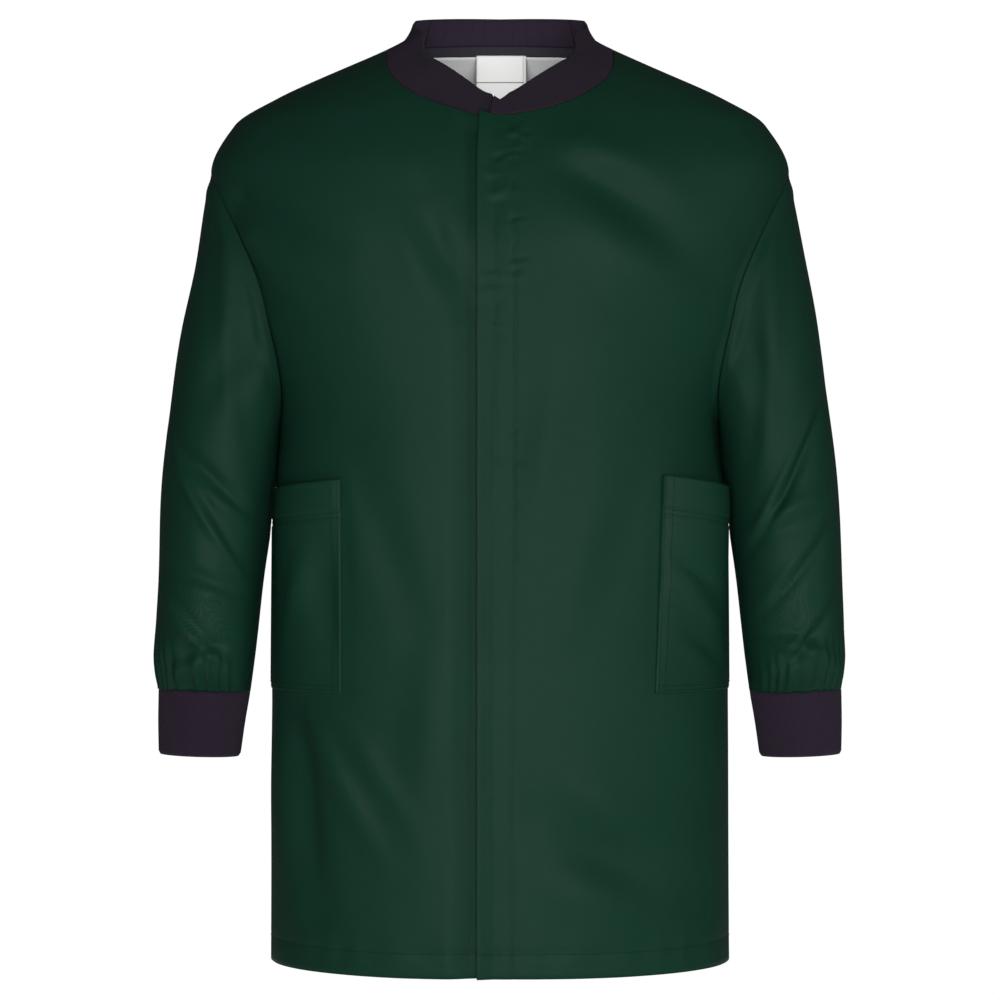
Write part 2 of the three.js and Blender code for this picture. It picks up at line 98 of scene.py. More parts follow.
class SmoothCurve:
    """A smooth curve through stations that never overshoots them."""

    def __init__(self, *stations: tuple[float, float]) -> None:
        """Keeps the stations.

        Args:
            stations: Pairs of place and value, sorted by place.
        """
        self.at = np.array([s[0] for s in stations], float)
        self.value = np.array([s[1] for s in stations], float)
        slope = np.diff(self.value) / np.diff(self.at)
        tangent = np.zeros(len(stations))
        tangent[0], tangent[-1] = slope[0], slope[-1]
        for i in range(1, len(slope)):
            a, b = slope[i - 1], slope[i]
            tangent[i] = 0.0 if a * b <= 0 else 2 * a * b / (a + b)
        self.tangent = tangent

    def __call__(self, at: Array) -> Array:
        """The curve's value at each place."""
        at = np.asarray(at, float)
        i = np.clip(np.searchsorted(self.at, at, side="left") - 1, 0, len(self.at) - 2)
        h = self.at[i + 1] - self.at[i]
        t = (at - self.at[i]) / h
        s = np.clip(t, 0.0, 1.0)
        low, high = self.tangent[i], self.tangent[i + 1]
        value = self.value[i] * (1 + 2 * s) * (1 - s) ** 2 + self.value[i + 1] * s * s * (3 - 2 * s)
        value = value + h * s * (1 - s) * (low * (1 - s) - high * s)
        return value + np.select([t < 0, t > 1], [t * low, (t - 1) * high], 0.0) * h


def signed_power(value: Array, exponent: float) -> Array:
    """A power that keeps the value's sign."""
    return np.sign(value) * np.abs(value) ** exponent


FREE_END = 0.25  # height of a free fold at its ends, as a share of its middle
DIP_PLACE, DIP_DEPTH = 1.7, 0.35  # the dip beside a fold, in widths and as a share of its height


@dataclass(frozen=True)
class Fold:
    """A soft ridge or valley of cloth along a straight run.

    Attributes:
        start: Where it begins, as two coordinates of the sheet that it lies on.
        end: Where it dies away.
        width: Half its width.
        height: How far it stands out, negative for a valley.
        anchored: True if it springs from a seam at its start at full height.
    """

    start: tuple[float, float]
    end: tuple[float, float]
    width: float
    height: float
    anchored: bool = False

    def __call__(self, a: Array, b: Array) -> Array:
        """How far the fold lifts the cloth at each place."""
        run = np.subtract(self.end, self.start)
        length = np.hypot(*run)
        da, db = a - self.start[0], b - self.start[1]
        t = (da * run[0] + db * run[1]) / length**2
        off = (da * run[1] - db * run[0]) / length
        over = np.maximum(np.maximum(-t, t - 1) * length, 0) / (2 * self.width)
        free = FREE_END + (1 - FREE_END) * hump(t)
        along = np.cos(RIGHT_ANGLE * np.clip(t, 0, 1)) if self.anchored else free
        dip = DIP_DEPTH * bell(off - DIP_PLACE * self.width, self.width)
        return self.height * along * (bell(off, self.width) - dip) * np.exp(-(over**2) * 4)


def creases(*rows: tuple[float, ...]) -> tuple[Fold, ...]:
    """Folds from rows of start, end, width, height and, for a fold from a seam, True."""
    return tuple(Fold(row[:2], row[2:4], *row[4:]) for row in rows)


@dataclass(frozen=True)
class Ripple:
    """Broad unevenness of hanging cloth: a few long waves in seeded random directions."""

    seed: int
    height: float
    shortest: float
    longest: float
    upright: float = 2.5
    waves: int = 14
    scatter: float = 0.9

    def __call__(self, a: Array, b: Array) -> Array:
        """How far the waves lift the cloth at each place."""
        pick = np.random.default_rng(self.seed)
        lift = np.zeros(np.shape(a))
        for _ in range(self.waves):
            length = pick.uniform(self.shortest, self.longest)
            turn = pick.normal(0.0, self.scatter)
            phase = pick.uniform(0, 2 * math.pi)
            across, along = math.cos(turn), math.sin(turn) / self.upright
            lift += np.sin(2 * math.pi * (a * across + b * along) / length + phase) * length
        return lift * self.height / (self.waves * 0.5 * (self.shortest + self.longest)) * 2


@dataclass
class BodyForm:
    """The overall's outer surface: level sections with a half width and two depths."""

    hem: float = 0.695
    hem_half_width: float = 0.176
    waist: float = 0.360
    waist_half_width: float = 0.174
    underarm: float = 0.285
    underarm_half_width: float = 0.168
    blade: float = 0.200
    blade_half_width: float = 0.196
    shoulder: float = 0.094
    shoulder_half_width: float = 0.222
    shoulder_turn: float = 0.018
    shoulder_turn_drop: float = 0.057
    front_depth: float = 0.112
    back_depth: float = 0.105
    roundness: float = 2.3
    neck_half_width: float = 0.091
    front_neck_drop: float = 0.058
    front_neck_depth: float = 0.085
    back_neck_rise: float = 0.006
    back_neck_depth: float = 0.052
    armhole_half_depth: float = 0.058
    low_share: float = 0.45
    neck_share: float = 0.5
    crowding: float = 1.25

    def __post_init__(self) -> None:
        """Draws the curves of half width and depth up the body."""
        self.shoulder_run = self.shoulder_half_width - self.shoulder_turn - self.neck_half_width
        slope = self.shoulder_run / self.shoulder_turn_drop
        top = self.back_neck_rise + 4 * MM
        half, turn = self.shoulder_half_width, self.shoulder_turn_drop
        self.half_width = SmoothCurve(
            (-self.hem, self.hem_half_width), (-self.waist, self.waist_half_width),
            (-self.underarm, self.underarm_half_width), (-self.blade, self.blade_half_width),
            (-self.shoulder, half), (-turn, half - self.shoulder_turn),
            (-0.66 * turn, self.neck_half_width + 0.73 * self.shoulder_run),
            (0.0, self.neck_half_width), (top, self.neck_half_width - slope * top),
        )
        front, neck = self.front_depth, self.front_neck_depth
        self.front = SmoothCurve(
            (-self.hem, front), (-0.240, front), (-0.160, front - 1 * MM),
            (-0.100, front - 10 * MM), (-self.front_neck_drop, neck), (-0.014, neck - 30 * MM),
            (0.0, neck - 45 * MM), (top, neck - 60 * MM),
        )
        back, nape = self.back_depth, self.back_neck_depth
        self.back = SmoothCurve(
            (-self.hem, back), (-0.180, back), (-0.110, back - 1 * MM), (-0.060, nape + 43 * MM),
            (-0.030, nape + 30 * MM), (0.0, nape + 8 * MM), (self.back_neck_rise, nape),
            (top, nape - 6 * MM),
        )

    def depth(self, z: Array, face: Array) -> Array:
        """The section's depth at each height: in front where face is -1, behind where it is 1."""
        return np.where(np.asarray(face) < 0, self.front(z), self.back(z))

    def point(self, angle: Array, z: Array, face: int) -> Array:
        """Points of the surface, from an angle round the section, a height and a face.

        Args:
            angle: 0 at the wearer's left side, a right angle at the centre.
            z: Height of each point.
            face: -1 for the front, 1 for the back.

        Returns:
            The points, one in each row.
        """
        x = self.half_width(z) * signed_power(np.cos(angle), 2 / self.roundness)
        y = face * self.depth(z, face) * np.abs(np.sin(angle)) ** (2 / self.roundness)
        return np.stack([x, y, z * np.ones_like(x)], axis=-1)

    def angle_at(self, x: Array, z: Array) -> Array:
        """The angle round the section at a distance x from the centre line."""
        share = np.clip(x / self.half_width(z), -1, 1)
        return np.arccos(signed_power(share, self.roundness / 2))

    def side_x(self, y: Array, z: Array) -> Array:
        """How far out the surface lies at a depth y."""
        share = np.clip(np.abs(y) / self.depth(z, np.sign(y)), 0, 1)
        return self.half_width(z) * (1 - share**self.roundness) ** (1 / self.roundness)

    def level(self, p: Array) -> Array:
        """A measure that grows outward and is 1 on the surface."""
        x, y, z = p[..., 0], p[..., 1], p[..., 2]
        across = np.abs(x / self.half_width(z)) ** self.roundness
        return across + np.abs(y / self.depth(z, np.sign(y))) ** self.roundness

    def normal(self, p: Array) -> Array:
        """The outward normal of the surface at each point."""
        step = 0.2 * MM
        slope = [self.level(p + shift) - self.level(p - shift) for shift in np.eye(3) * step]
        slope = np.stack(slope, axis=-1)
        return slope / np.linalg.norm(slope, axis=-1, keepdims=True)

    def neck_z(self, angle: Array, face: int) -> Array:
        """Height of the neckline at each angle."""
        if face > 0:
            return self.back_neck_rise * np.sin(angle) ** 2
        q = 1 - np.abs(1 - angle / RIGHT_ANGLE)
        return -self.front_neck_drop * (1 - (1 - q**3) ** 1.65)

    def neck_angle_at(self, x: float) -> float:
        """The angle where the front neckline is x from the centre line."""
        low, high = 0.0, math.pi
        for _ in range(40):
            middle = np.array([(low + high) / 2])
            wider = self.point(middle, self.neck_z(middle, -1), -1)[0, 0] > x
            low, high = (float(middle[0]), high) if wider else (low, float(middle[0]))
        return (low + high) / 2

    def armhole(self, t: Array, face: Array) -> tuple[Array, Array]:
        """Depth and height round the armhole, from the underarm (t = 0) to the shoulder point."""
        middle = (self.shoulder + self.underarm) / 2
        half = (self.underarm - self.shoulder) / 2
        y = face * self.armhole_half_depth * np.sin(math.pi * t)
        return y, -middle - half * np.cos(math.pi * t)

    def panel(self, u: Array, v: Array, face: int, edge_x: float) -> tuple[Array, Array]:
        """Angle and height over a panel, from near the centre to the side and shoulder seams.

        Args:
            u: Share of the way from the centre edge to the side.
            v: Share of the way up from the hem.
            face: -1 for the front, 1 for the back.
            edge_x: The centre edge's distance from the centre line.

        Returns:
            The angles and the heights.
        """
        seam = 0.0  # the angle of the side and shoulder seams
        low_z = mix(-self.hem, -self.underarm, v / self.low_share)
        low_angle = mix(self.angle_at(edge_x, low_z), seam, u)
        rise = 1 - np.clip((1 - v) / (1 - self.low_share), 0, 1) ** self.crowding
        top_angle = self.neck_angle_at(edge_x) if face < 0 else RIGHT_ANGLE
        top_z = float(self.neck_z(np.array(top_angle), face))

        def left(t: Array) -> tuple[Array, Array]:
            z = mix(-self.underarm, top_z, t)
            return np.where(t >= 1, top_angle, self.angle_at(edge_x, z)), z

        def far(t: Array) -> tuple[Array, Array]:
            y, z = self.armhole(t, face)
            share = np.clip(np.abs(y) / self.depth(z, face), 0, 1)
            return np.maximum(seam, np.arcsin(share ** (self.roundness / 2))), z

        def bottom(s: Array) -> tuple[Array, Array]:
            angle = mix(self.angle_at(edge_x, -self.underarm), seam, s)
            return angle, -self.underarm * np.ones_like(s)

        def top(s: Array) -> tuple[Array, Array]:
            neck = self.neck_share
            bend = np.clip(s / neck, 0, 1) ** (self.crowding if face < 0 else 1.0)
            angle = np.where(s < neck, mix(top_angle, seam, bend), seam)
            along = np.clip((s - neck) / (1 - neck), 0, 1)
            return angle, np.where(s < neck, self.neck_z(angle, face), -self.shoulder * along)

        one, zero = np.ones_like(u), np.zeros_like(u)
        high = []
        for k in range(2):
            edges = mix(left(rise)[k], far(rise)[k], u) + mix(bottom(u)[k], top(u)[k], rise)
            corners = [mix(left(end)[k], far(end)[k], u) for end in (zero, one)]
            high.append(edges - mix(*corners, rise))
        below = v <= self.low_share
        return np.where(below, low_angle, high[0]), np.where(below, low_z, high[1])


FORM = BodyForm()


# ---- Meshes -------------------------------------------------------------------------------------
def measured_normal(surface: Surface, u: Array, v: Array, inside: Array) -> Array:
    """The normal of a surface that has no formula, measured on the surface itself.

    Args:
        surface: Gives a point for each pair of shares.
        u: First shares.
        v: Second shares.
        inside: Points on the hollow side, which the normals turn away from.

    Returns:
        Unit normals, one in each row.
    """
    step = 1e-3
    across = surface(np.clip(u + step, 0, 1), v) - surface(np.clip(u - step, 0, 1), v)
    along = surface(u, np.clip(v + step, 0, 1)) - surface(u, np.clip(v - step, 0, 1))
    normal = np.cross(across, along)
    normal /= np.maximum(np.linalg.norm(normal, axis=-1, keepdims=True), 1e-12)
    away = np.sum(normal * (surface(u, v) - inside), axis=-1, keepdims=True)
    return normal * np.where(away < 0, -1.0, 1.0)


def distance_along(points: Array, axis: int = 0) -> Array:
    """How far each point lies from the first along one axis of a row or grid of points."""
    steps = np.linalg.norm(np.diff(points, axis=axis), axis=-1)
    before = [(1, 0) if k == axis else (0, 0) for k in range(steps.ndim)]
    return np.pad(np.cumsum(steps, axis=axis), before)


def make_object(name: str, bm: bmesh.types.BMesh) -> bpy.types.Object:
    """Turns a bmesh into a linked object with smooth faces.

    Args:
        name: The piece's name.
        bm: The mesh, which is freed.

    Returns:
        The new object.
    """
    mesh = bpy.data.meshes.new(name)
    for face in bm.faces:
        face.smooth = True
    bm.to_mesh(mesh)
    bm.free()
    piece = bpy.data.objects.new(name, mesh)
    bpy.context.scene.collection.objects.link(piece)
    return piece


def add_grid(
    bm: bmesh.types.BMesh, columns: int, rows: int, surface: Surface, inside: Array
) -> None:
    """Adds a grid laid on a surface, facing away from a point, with a UV map in metres.

    Args:
        bm: The mesh that it joins.
        columns: Cells across.
        rows: Cells along.
        surface: Gives a point for each pair of shares.
        inside: A point on the hollow side.
    """
    u, v = np.meshgrid(np.linspace(0, 1, columns + 1), np.linspace(0, 1, rows + 1))
    points = surface(u.ravel(), v.ravel()).reshape(rows + 1, columns + 1, 3)
    girth, rise = distance_along(points, 1), distance_along(points, 0)
    uv = bm.loops.layers.uv.get("cloth") or bm.loops.layers.uv.new("cloth")
    made = bmesh.ops.create_grid(bm, x_segments=columns, y_segments=rows, size=0.5)["verts"]
    place = {}
    for vert in made:
        place[vert] = (round((vert.co.y + 0.5) * rows), round((vert.co.x + 0.5) * columns))
    faces = {face for vert in made for face in vert.link_faces}
    for face in faces:
        for loop in face.loops:
            spot = place[loop.vert]
            loop[uv].uv = (girth[spot], rise[spot])
    for vert in made:
        vert.co = points[place[vert]]
    corner = points[:-1, :-1]
    out = np.cross(points[:-1, 1:] - corner, points[1:, :-1] - corner)
    if np.sum(out * (corner - inside)) < 0:
        bmesh.ops.reverse_faces(bm, faces=sorted(faces, key=lambda f: f.calc_center_median()[:]))


def make_sheet(
    name: str, columns: int, rows: int, surface: Surface, inside: Array, wall: float,
    closed: bool = False,
) -> bpy.types.Object:
    """Makes one sheet of cloth with its wall on the inside.

    Args:
        name: The piece's name.
        columns: Cells across.
        rows: Cells along.
        surface: The outer face, as a point for each pair of shares.
        inside: A point on the hollow side.
        wall: The cloth's thickness.
        closed: True if the last column meets the first, as on a sleeve.

    Returns:
        The new object.
    """
    bm = bmesh.new()
    add_grid(bm, columns, rows, surface, inside)
    if closed:
        bmesh.ops.remove_doubles(bm, verts=bm.verts, dist=1e-6)
    return thicken(make_object(name, bm), wall)


def thicken(piece: bpy.types.Object, wall: float) -> bpy.types.Object:
    """Gives a sheet its wall, on the inside of its face."""
    solid = piece.modifiers.new("wall", "SOLIDIFY")
    solid.thickness = wall
    solid.offset = -1.0
    return piece


@dataclass(frozen=True)
class Stitching:
    """Sewing thread laid in short stitches."""

    pitch: float = 3.3 * MM
    length: float = 2.5 * MM
    width: float = 0.52 * MM
    proud: float = 0.12 * MM

    def sew(self, bm: bmesh.types.BMesh, path: Array, normals: Array) -> None:
        """Adds one row of stitches along a path.

        Args:
            bm: The mesh that the stitches join.
            path: Points along the row, on the cloth.
            normals: The cloth's normal at each point.
        """
        at = distance_along(path)
        count = int(at[-1] / self.pitch)
        if count < 1:
            return
        middles = (np.arange(count) + 0.5) * at[-1] / count

        half = self.length / 2

        def sample(rows: Array, distance: Array) -> Array:
            return np.stack([np.interp(distance, at, rows[:, k]) for k in range(3)], axis=-1)

        heads, tails = sample(path, middles + half), sample(path, middles - half)
        for head, tail, up in zip(heads, tails, sample(normals, middles)):
            run = Vector(head - tail)
            forward, out = run.normalized(), Vector(up).normalized()
            across = out.cross(forward).normalized()
            lift = Matrix.Translation(Vector((head + tail) / 2) + out * self.proud)
            turn = Matrix((forward, across, out)).transposed().to_4x4()
            size = Matrix.Diagonal((half, self.width / 2, self.width / 2, 1))
            place = lift @ turn @ size
            bmesh.ops.create_uvsphere(bm, u_segments=6, v_segments=4, radius=1.0, matrix=place)


# ---- Finishes -----------------------------------------------------------------------------------
Colour = Triple
Socket = bpy.types.NodeSocket


def fill(node: bpy.types.Node, values: dict[str, object]) -> None:
    """Sets a node's inputs by name."""
    for name, value in values.items():
        node.inputs[name].default_value = value


class Nodes:
    """Adds and joins the nodes of one tree."""

    def __init__(self, tree: bpy.types.NodeTree) -> None:
        """Keeps the tree."""
        self.tree = tree

    def add(self, kind: str, **settings: object) -> bpy.types.Node:
        """Adds a node and sets its properties."""
        node = self.tree.nodes.new(kind)
        for key, value in settings.items():
            setattr(node, key, value)
        return node

    def join(self, source: Socket, target: Socket) -> None:
        """Links an output to an input."""
        self.tree.links.new(source, target)

    def feed(self, target: Socket, value: object) -> None:
        """Links a socket to an input, or sets the input to a plain value."""
        if isinstance(value, Socket):
            self.join(value, target)
        else:
            target.default_value = value

    def math(self, operation: str, a: object, b: object = 0.0) -> Socket:
        """Adds a Math node on two values or sockets and gives its output."""
        node = self.add("ShaderNodeMath", operation=operation)
        for socket, value in zip(node.inputs, (a, b)):
            self.feed(socket, value)
        return node.outputs[0]

    def weigh(self, a: Socket, a_share: float, b: Socket, b_share: float) -> Socket:
        """Adds two values up by their shares."""
        first = self.math("MULTIPLY", a, a_share)
        return self.math("ADD", first, self.math("MULTIPLY", b, b_share))

    def split(self, vector: Socket) -> tuple[Socket, Socket, Socket]:
        """Splits a vector and gives its three parts."""
        node = self.add("ShaderNodeSeparateXYZ")
        self.join(vector, node.inputs[0])
        return tuple(node.outputs)

    def mix_colours(self, share: Socket, low: object, high: object) -> Socket:
        """Adds a colour mix and gives its result."""
        node = self.add("ShaderNodeMix", data_type="RGBA")
        self.join(share, node.inputs[0])
        for socket, value in ((node.inputs[6], low), (node.inputs[7], high)):
            self.feed(socket, value if isinstance(value, Socket) else (*value, 1.0))
        return node.outputs[2]

    def noise(self, vector: Socket, scale: float, detail: float = 2.0) -> Socket:
        """Adds a noise texture and gives its value."""
        node = self.add("ShaderNodeTexNoise")
        fill(node, {"Scale": scale, "Detail": detail})
        self.join(vector, node.inputs["Vector"])
        return node.outputs["Fac"]


def new_group(
    name: str, inputs: tuple[str, ...], outputs: tuple[str, ...]
) -> tuple[Nodes, object, object]:
    """Starts a shader node group of plain values, with a vector first.

    Args:
        name: The group's name.
        inputs: Names of its value inputs.
        outputs: Names of its value outputs.

    Returns:
        Its nodes, its input node and its output node.
    """
    tree = bpy.data.node_groups.new(name, "ShaderNodeTree")
    tree.interface.new_socket("Vector", in_out="INPUT", socket_type="NodeSocketVector")
    for words, way in ((inputs, "INPUT"), (outputs, "OUTPUT")):
        for word in words:
            tree.interface.new_socket(word, in_out=way, socket_type="NodeSocketFloat")
    nodes = Nodes(tree)
    return nodes, nodes.add("NodeGroupInput"), nodes.add("NodeGroupOutput")


def twill_group() -> bpy.types.NodeTree:
    """A diagonal twill weave: raised ribs of yarn, crossed by finer picks.

    Returns:
        A group with inputs Vector (metres of cloth) and Pitch, and outputs Height and Slub.
    """
    nodes, start, end = new_group("twill_weave", ("Pitch",), ("Height", "Slub"))
    x, y, _ = nodes.split(start.outputs["Vector"])
    turn = nodes.math("DIVIDE", 2 * math.pi, start.outputs["Pitch"])
    slant = nodes.math("ADD", x, nodes.math("MULTIPLY", y, 0.55))
    rib = nodes.math("SINE", nodes.math("MULTIPLY", slant, turn))
    pick = nodes.math("SINE", nodes.math("MULTIPLY", nodes.math("MULTIPLY", y, turn), 1.9))
    height = nodes.weigh(rib, 0.35, pick, 0.15)
    nodes.join(nodes.math("ADD", height, 0.5), end.inputs["Height"])
    stretch = nodes.add("ShaderNodeMapping")
    fill(stretch, {"Scale": (1.0, 0.12, 1.0)})
    nodes.join(start.outputs["Vector"], stretch.inputs["Vector"])
    nodes.join(nodes.noise(stretch.outputs["Vector"], 900.0, 3.0), end.inputs["Slub"])
    return nodes.tree


def knit_group() -> bpy.types.NodeTree:
    """The loops of a rib knit, stacked along each rib.

    Returns:
        A group with inputs Vector (metres of cloth) and Pitch, and outputs Height and Fuzz.
    """
    nodes, start, end = new_group("knit_loops", ("Pitch",), ("Height", "Fuzz"))
    x, y, _ = nodes.split(start.outputs["Vector"])
    turn = nodes.math("DIVIDE", 2 * math.pi, start.outputs["Pitch"])
    across = nodes.math("ABSOLUTE", nodes.math("SINE", nodes.math("MULTIPLY", x, turn)))
    bend = nodes.weigh(y, turn, across, 1.6)
    loop = nodes.math("SINE", nodes.math("MULTIPLY", bend, 1.5))
    nodes.join(nodes.math("ADD", nodes.math("MULTIPLY", loop, 0.4), 0.5), end.inputs["Height"])
    nodes.join(nodes.noise(start.outputs["Vector"], 1400.0, 3.0), end.inputs["Fuzz"])
    return nodes.tree


def wear_group() -> bpy.types.NodeTree:
    """Uneven dye and pressing over a whole garment.

    Returns:
        A group with input Vector (object metres) and output Share.
    """
    nodes, start, end = new_group("dye_shade", (), ("Share",))
    broad = nodes.noise(start.outputs["Vector"], 9.0, 3.0)
    fine = nodes.noise(start.outputs["Vector"], 160.0, 2.0)
    nodes.join(nodes.weigh(broad, 0.65, fine, 0.35), end.inputs["Share"])
    return nodes.tree


@dataclass(frozen=True)
class Finish:
    """A cloth finish: one colour in two tones under a weave, darker in the weave's hollows as
    painted shade and uneven in its dye.

    Attributes:
        name: The material's name.
        dark: Colour in the weave's hollows, darkened there as painted shade, and of the cloth's
            darker dye.
        light: Colour on the weave's crowns, where no painted shade falls, and of the cloth's
            lighter dye.
        weave: The node group that gives the weave's height.
        pitch: Distance between the weave's ribs.
        relief: How deep the weave is.
        roughness: Roughness of the crowns.
        sheen: Strength of the nap's sheen.
        specular: Specular level.
        rule: Height of a plain printed line, or none.
        rule_half: Half the line's thickness.
        ink: The line's colour.
    """

    name: str
    dark: Colour
    light: Colour
    weave: str = "twill_weave"
    pitch: float = 0.7 * MM
    relief: float = 0.06 * MM
    roughness: float = 0.44
    sheen: float = 0.0
    specular: float = 0.065
    rule: float | None = None
    rule_half: float = 0.35 * MM
    ink: Colour = (0.12, 0.13, 0.14)

    def make(self) -> bpy.types.Material:
        """Builds the material.

        Returns:
            The new material.
        """
        material = bpy.data.materials.new(self.name)
        material.use_nodes = True
        nodes = Nodes(material.node_tree)
        shader = nodes.tree.nodes["Principled BSDF"]
        cloth = nodes.add("ShaderNodeUVMap", uv_map="cloth")
        place = nodes.add("ShaderNodeTexCoord")
        weave = nodes.add("ShaderNodeGroup", node_tree=bpy.data.node_groups[self.weave])
        fill(weave, {"Pitch": self.pitch})
        nodes.join(cloth.outputs["UV"], weave.inputs["Vector"])
        shade = nodes.add("ShaderNodeGroup", node_tree=bpy.data.node_groups["dye_shade"])
        nodes.join(place.outputs["Object"], shade.inputs["Vector"])
        # Painted shade: half of the colour mix is the weave's height, which darkens its hollows;
        # the other half is the cloth's uneven dye.
        share = nodes.weigh(weave.outputs["Height"], 0.5, shade.outputs["Share"], 0.5)
        colour = nodes.mix_colours(share, self.dark, self.light)
        if self.rule is not None:
            height = nodes.split(place.outputs["Object"])[2]
            off = nodes.math("ABSOLUTE", nodes.math("SUBTRACT", height, self.rule))
            line = nodes.math("LESS_THAN", off, self.rule_half)
            colour = nodes.mix_colours(line, colour, self.ink)
        nodes.join(colour, shader.inputs["Base Color"])
        spread = nodes.math("MULTIPLY", nodes.math("SUBTRACT", weave.outputs[1], 0.5), 0.25)
        nodes.join(nodes.math("ADD", spread, self.roughness), shader.inputs["Roughness"])
        sheen = {"Sheen Weight": self.sheen, "Sheen Roughness": 0.5}
        fill(shader, {"Specular IOR Level": self.specular, **sheen})
        bump = nodes.add("ShaderNodeBump")
        fill(bump, {"Distance": self.relief, "Strength": 0.8})
        nodes.join(weave.outputs["Height"], bump.inputs["Height"])
        nodes.join(bump.outputs["Normal"], shader.inputs["Normal"])
        return material


TWILL = Finish("bottle_green_twill", (0.0040, 0.0260, 0.0150), (0.0105, 0.0500, 0.0310))
RIB = Finish(
    "navy_rib_knit", (0.0140, 0.0090, 0.0170), (0.0340, 0.0230, 0.0410), "knit_loops",
    pitch=0.9 * MM, relief=0.10 * MM, roughness=0.9, sheen=0.06, specular=0.08,
)
LINING = Finish(
    "pale_lining", (0.54, 0.55, 0.55), (0.66, 0.66, 0.66), pitch=0.5 * MM, relief=0.03 * MM,
    roughness=0.7,
)
TAPE = Finish(
    "neck_tape_twill", (0.0080, 0.0075, 0.0120), (0.0220, 0.0190, 0.0280), pitch=0.9 * MM
)
LABEL = Finish(
    "white_label", (0.78, 0.78, 0.77), (0.86, 0.86, 0.85), pitch=0.35 * MM, relief=0.02 * MM,
    rule=-0.0160,
)
SIZE_LABEL = Finish(
    "white_size_label", (0.74, 0.74, 0.73), (0.82, 0.82, 0.81), pitch=0.35 * MM,
    relief=0.02 * MM,
)
FASTENER = Finish(
    "green_closure_tape", (0.0030, 0.0160, 0.0100), (0.0110, 0.0420, 0.0270), "knit_loops",
    pitch=0.8 * MM, relief=0.30 * MM, roughness=0.95, sheen=0.10, specular=0.10,
)
THREAD = Finish(
    "green_thread", (0.0020, 0.0120, 0.0080), (0.0060, 0.0260, 0.0170), pitch=0.4 * MM,
    roughness=0.6, specular=0.10,
)
BAND_THREAD = Finish(
    "brown_thread", (0.030, 0.014, 0.012), (0.070, 0.030, 0.026), pitch=0.4 * MM,
    roughness=0.5, specular=0.35,
)


# ---- The two fronts -----------------------------------------------------------------------------
FRONT_LAP = 17 * MM
CLOTH = 0.9 * MM
GAP = 0.3 * MM
PATCHES = 4
INSIDE = np.array([0.0, 0.0, -0.35])
HEM_ROW = 0.018
HEM_SHARE = HEM_ROW / (FORM.hem - FORM.underarm) * FORM.low_share
ROW_DEPTH, ROW_WIDTH, HEM_WIDTH = 0.75 * MM, 0.0013, 0.0014
POCKET_TOP, POCKET_SLANT, POCKET_HEIGHT = 0.329, 0.008, 0.158
POCKET_EDGE = 0.117


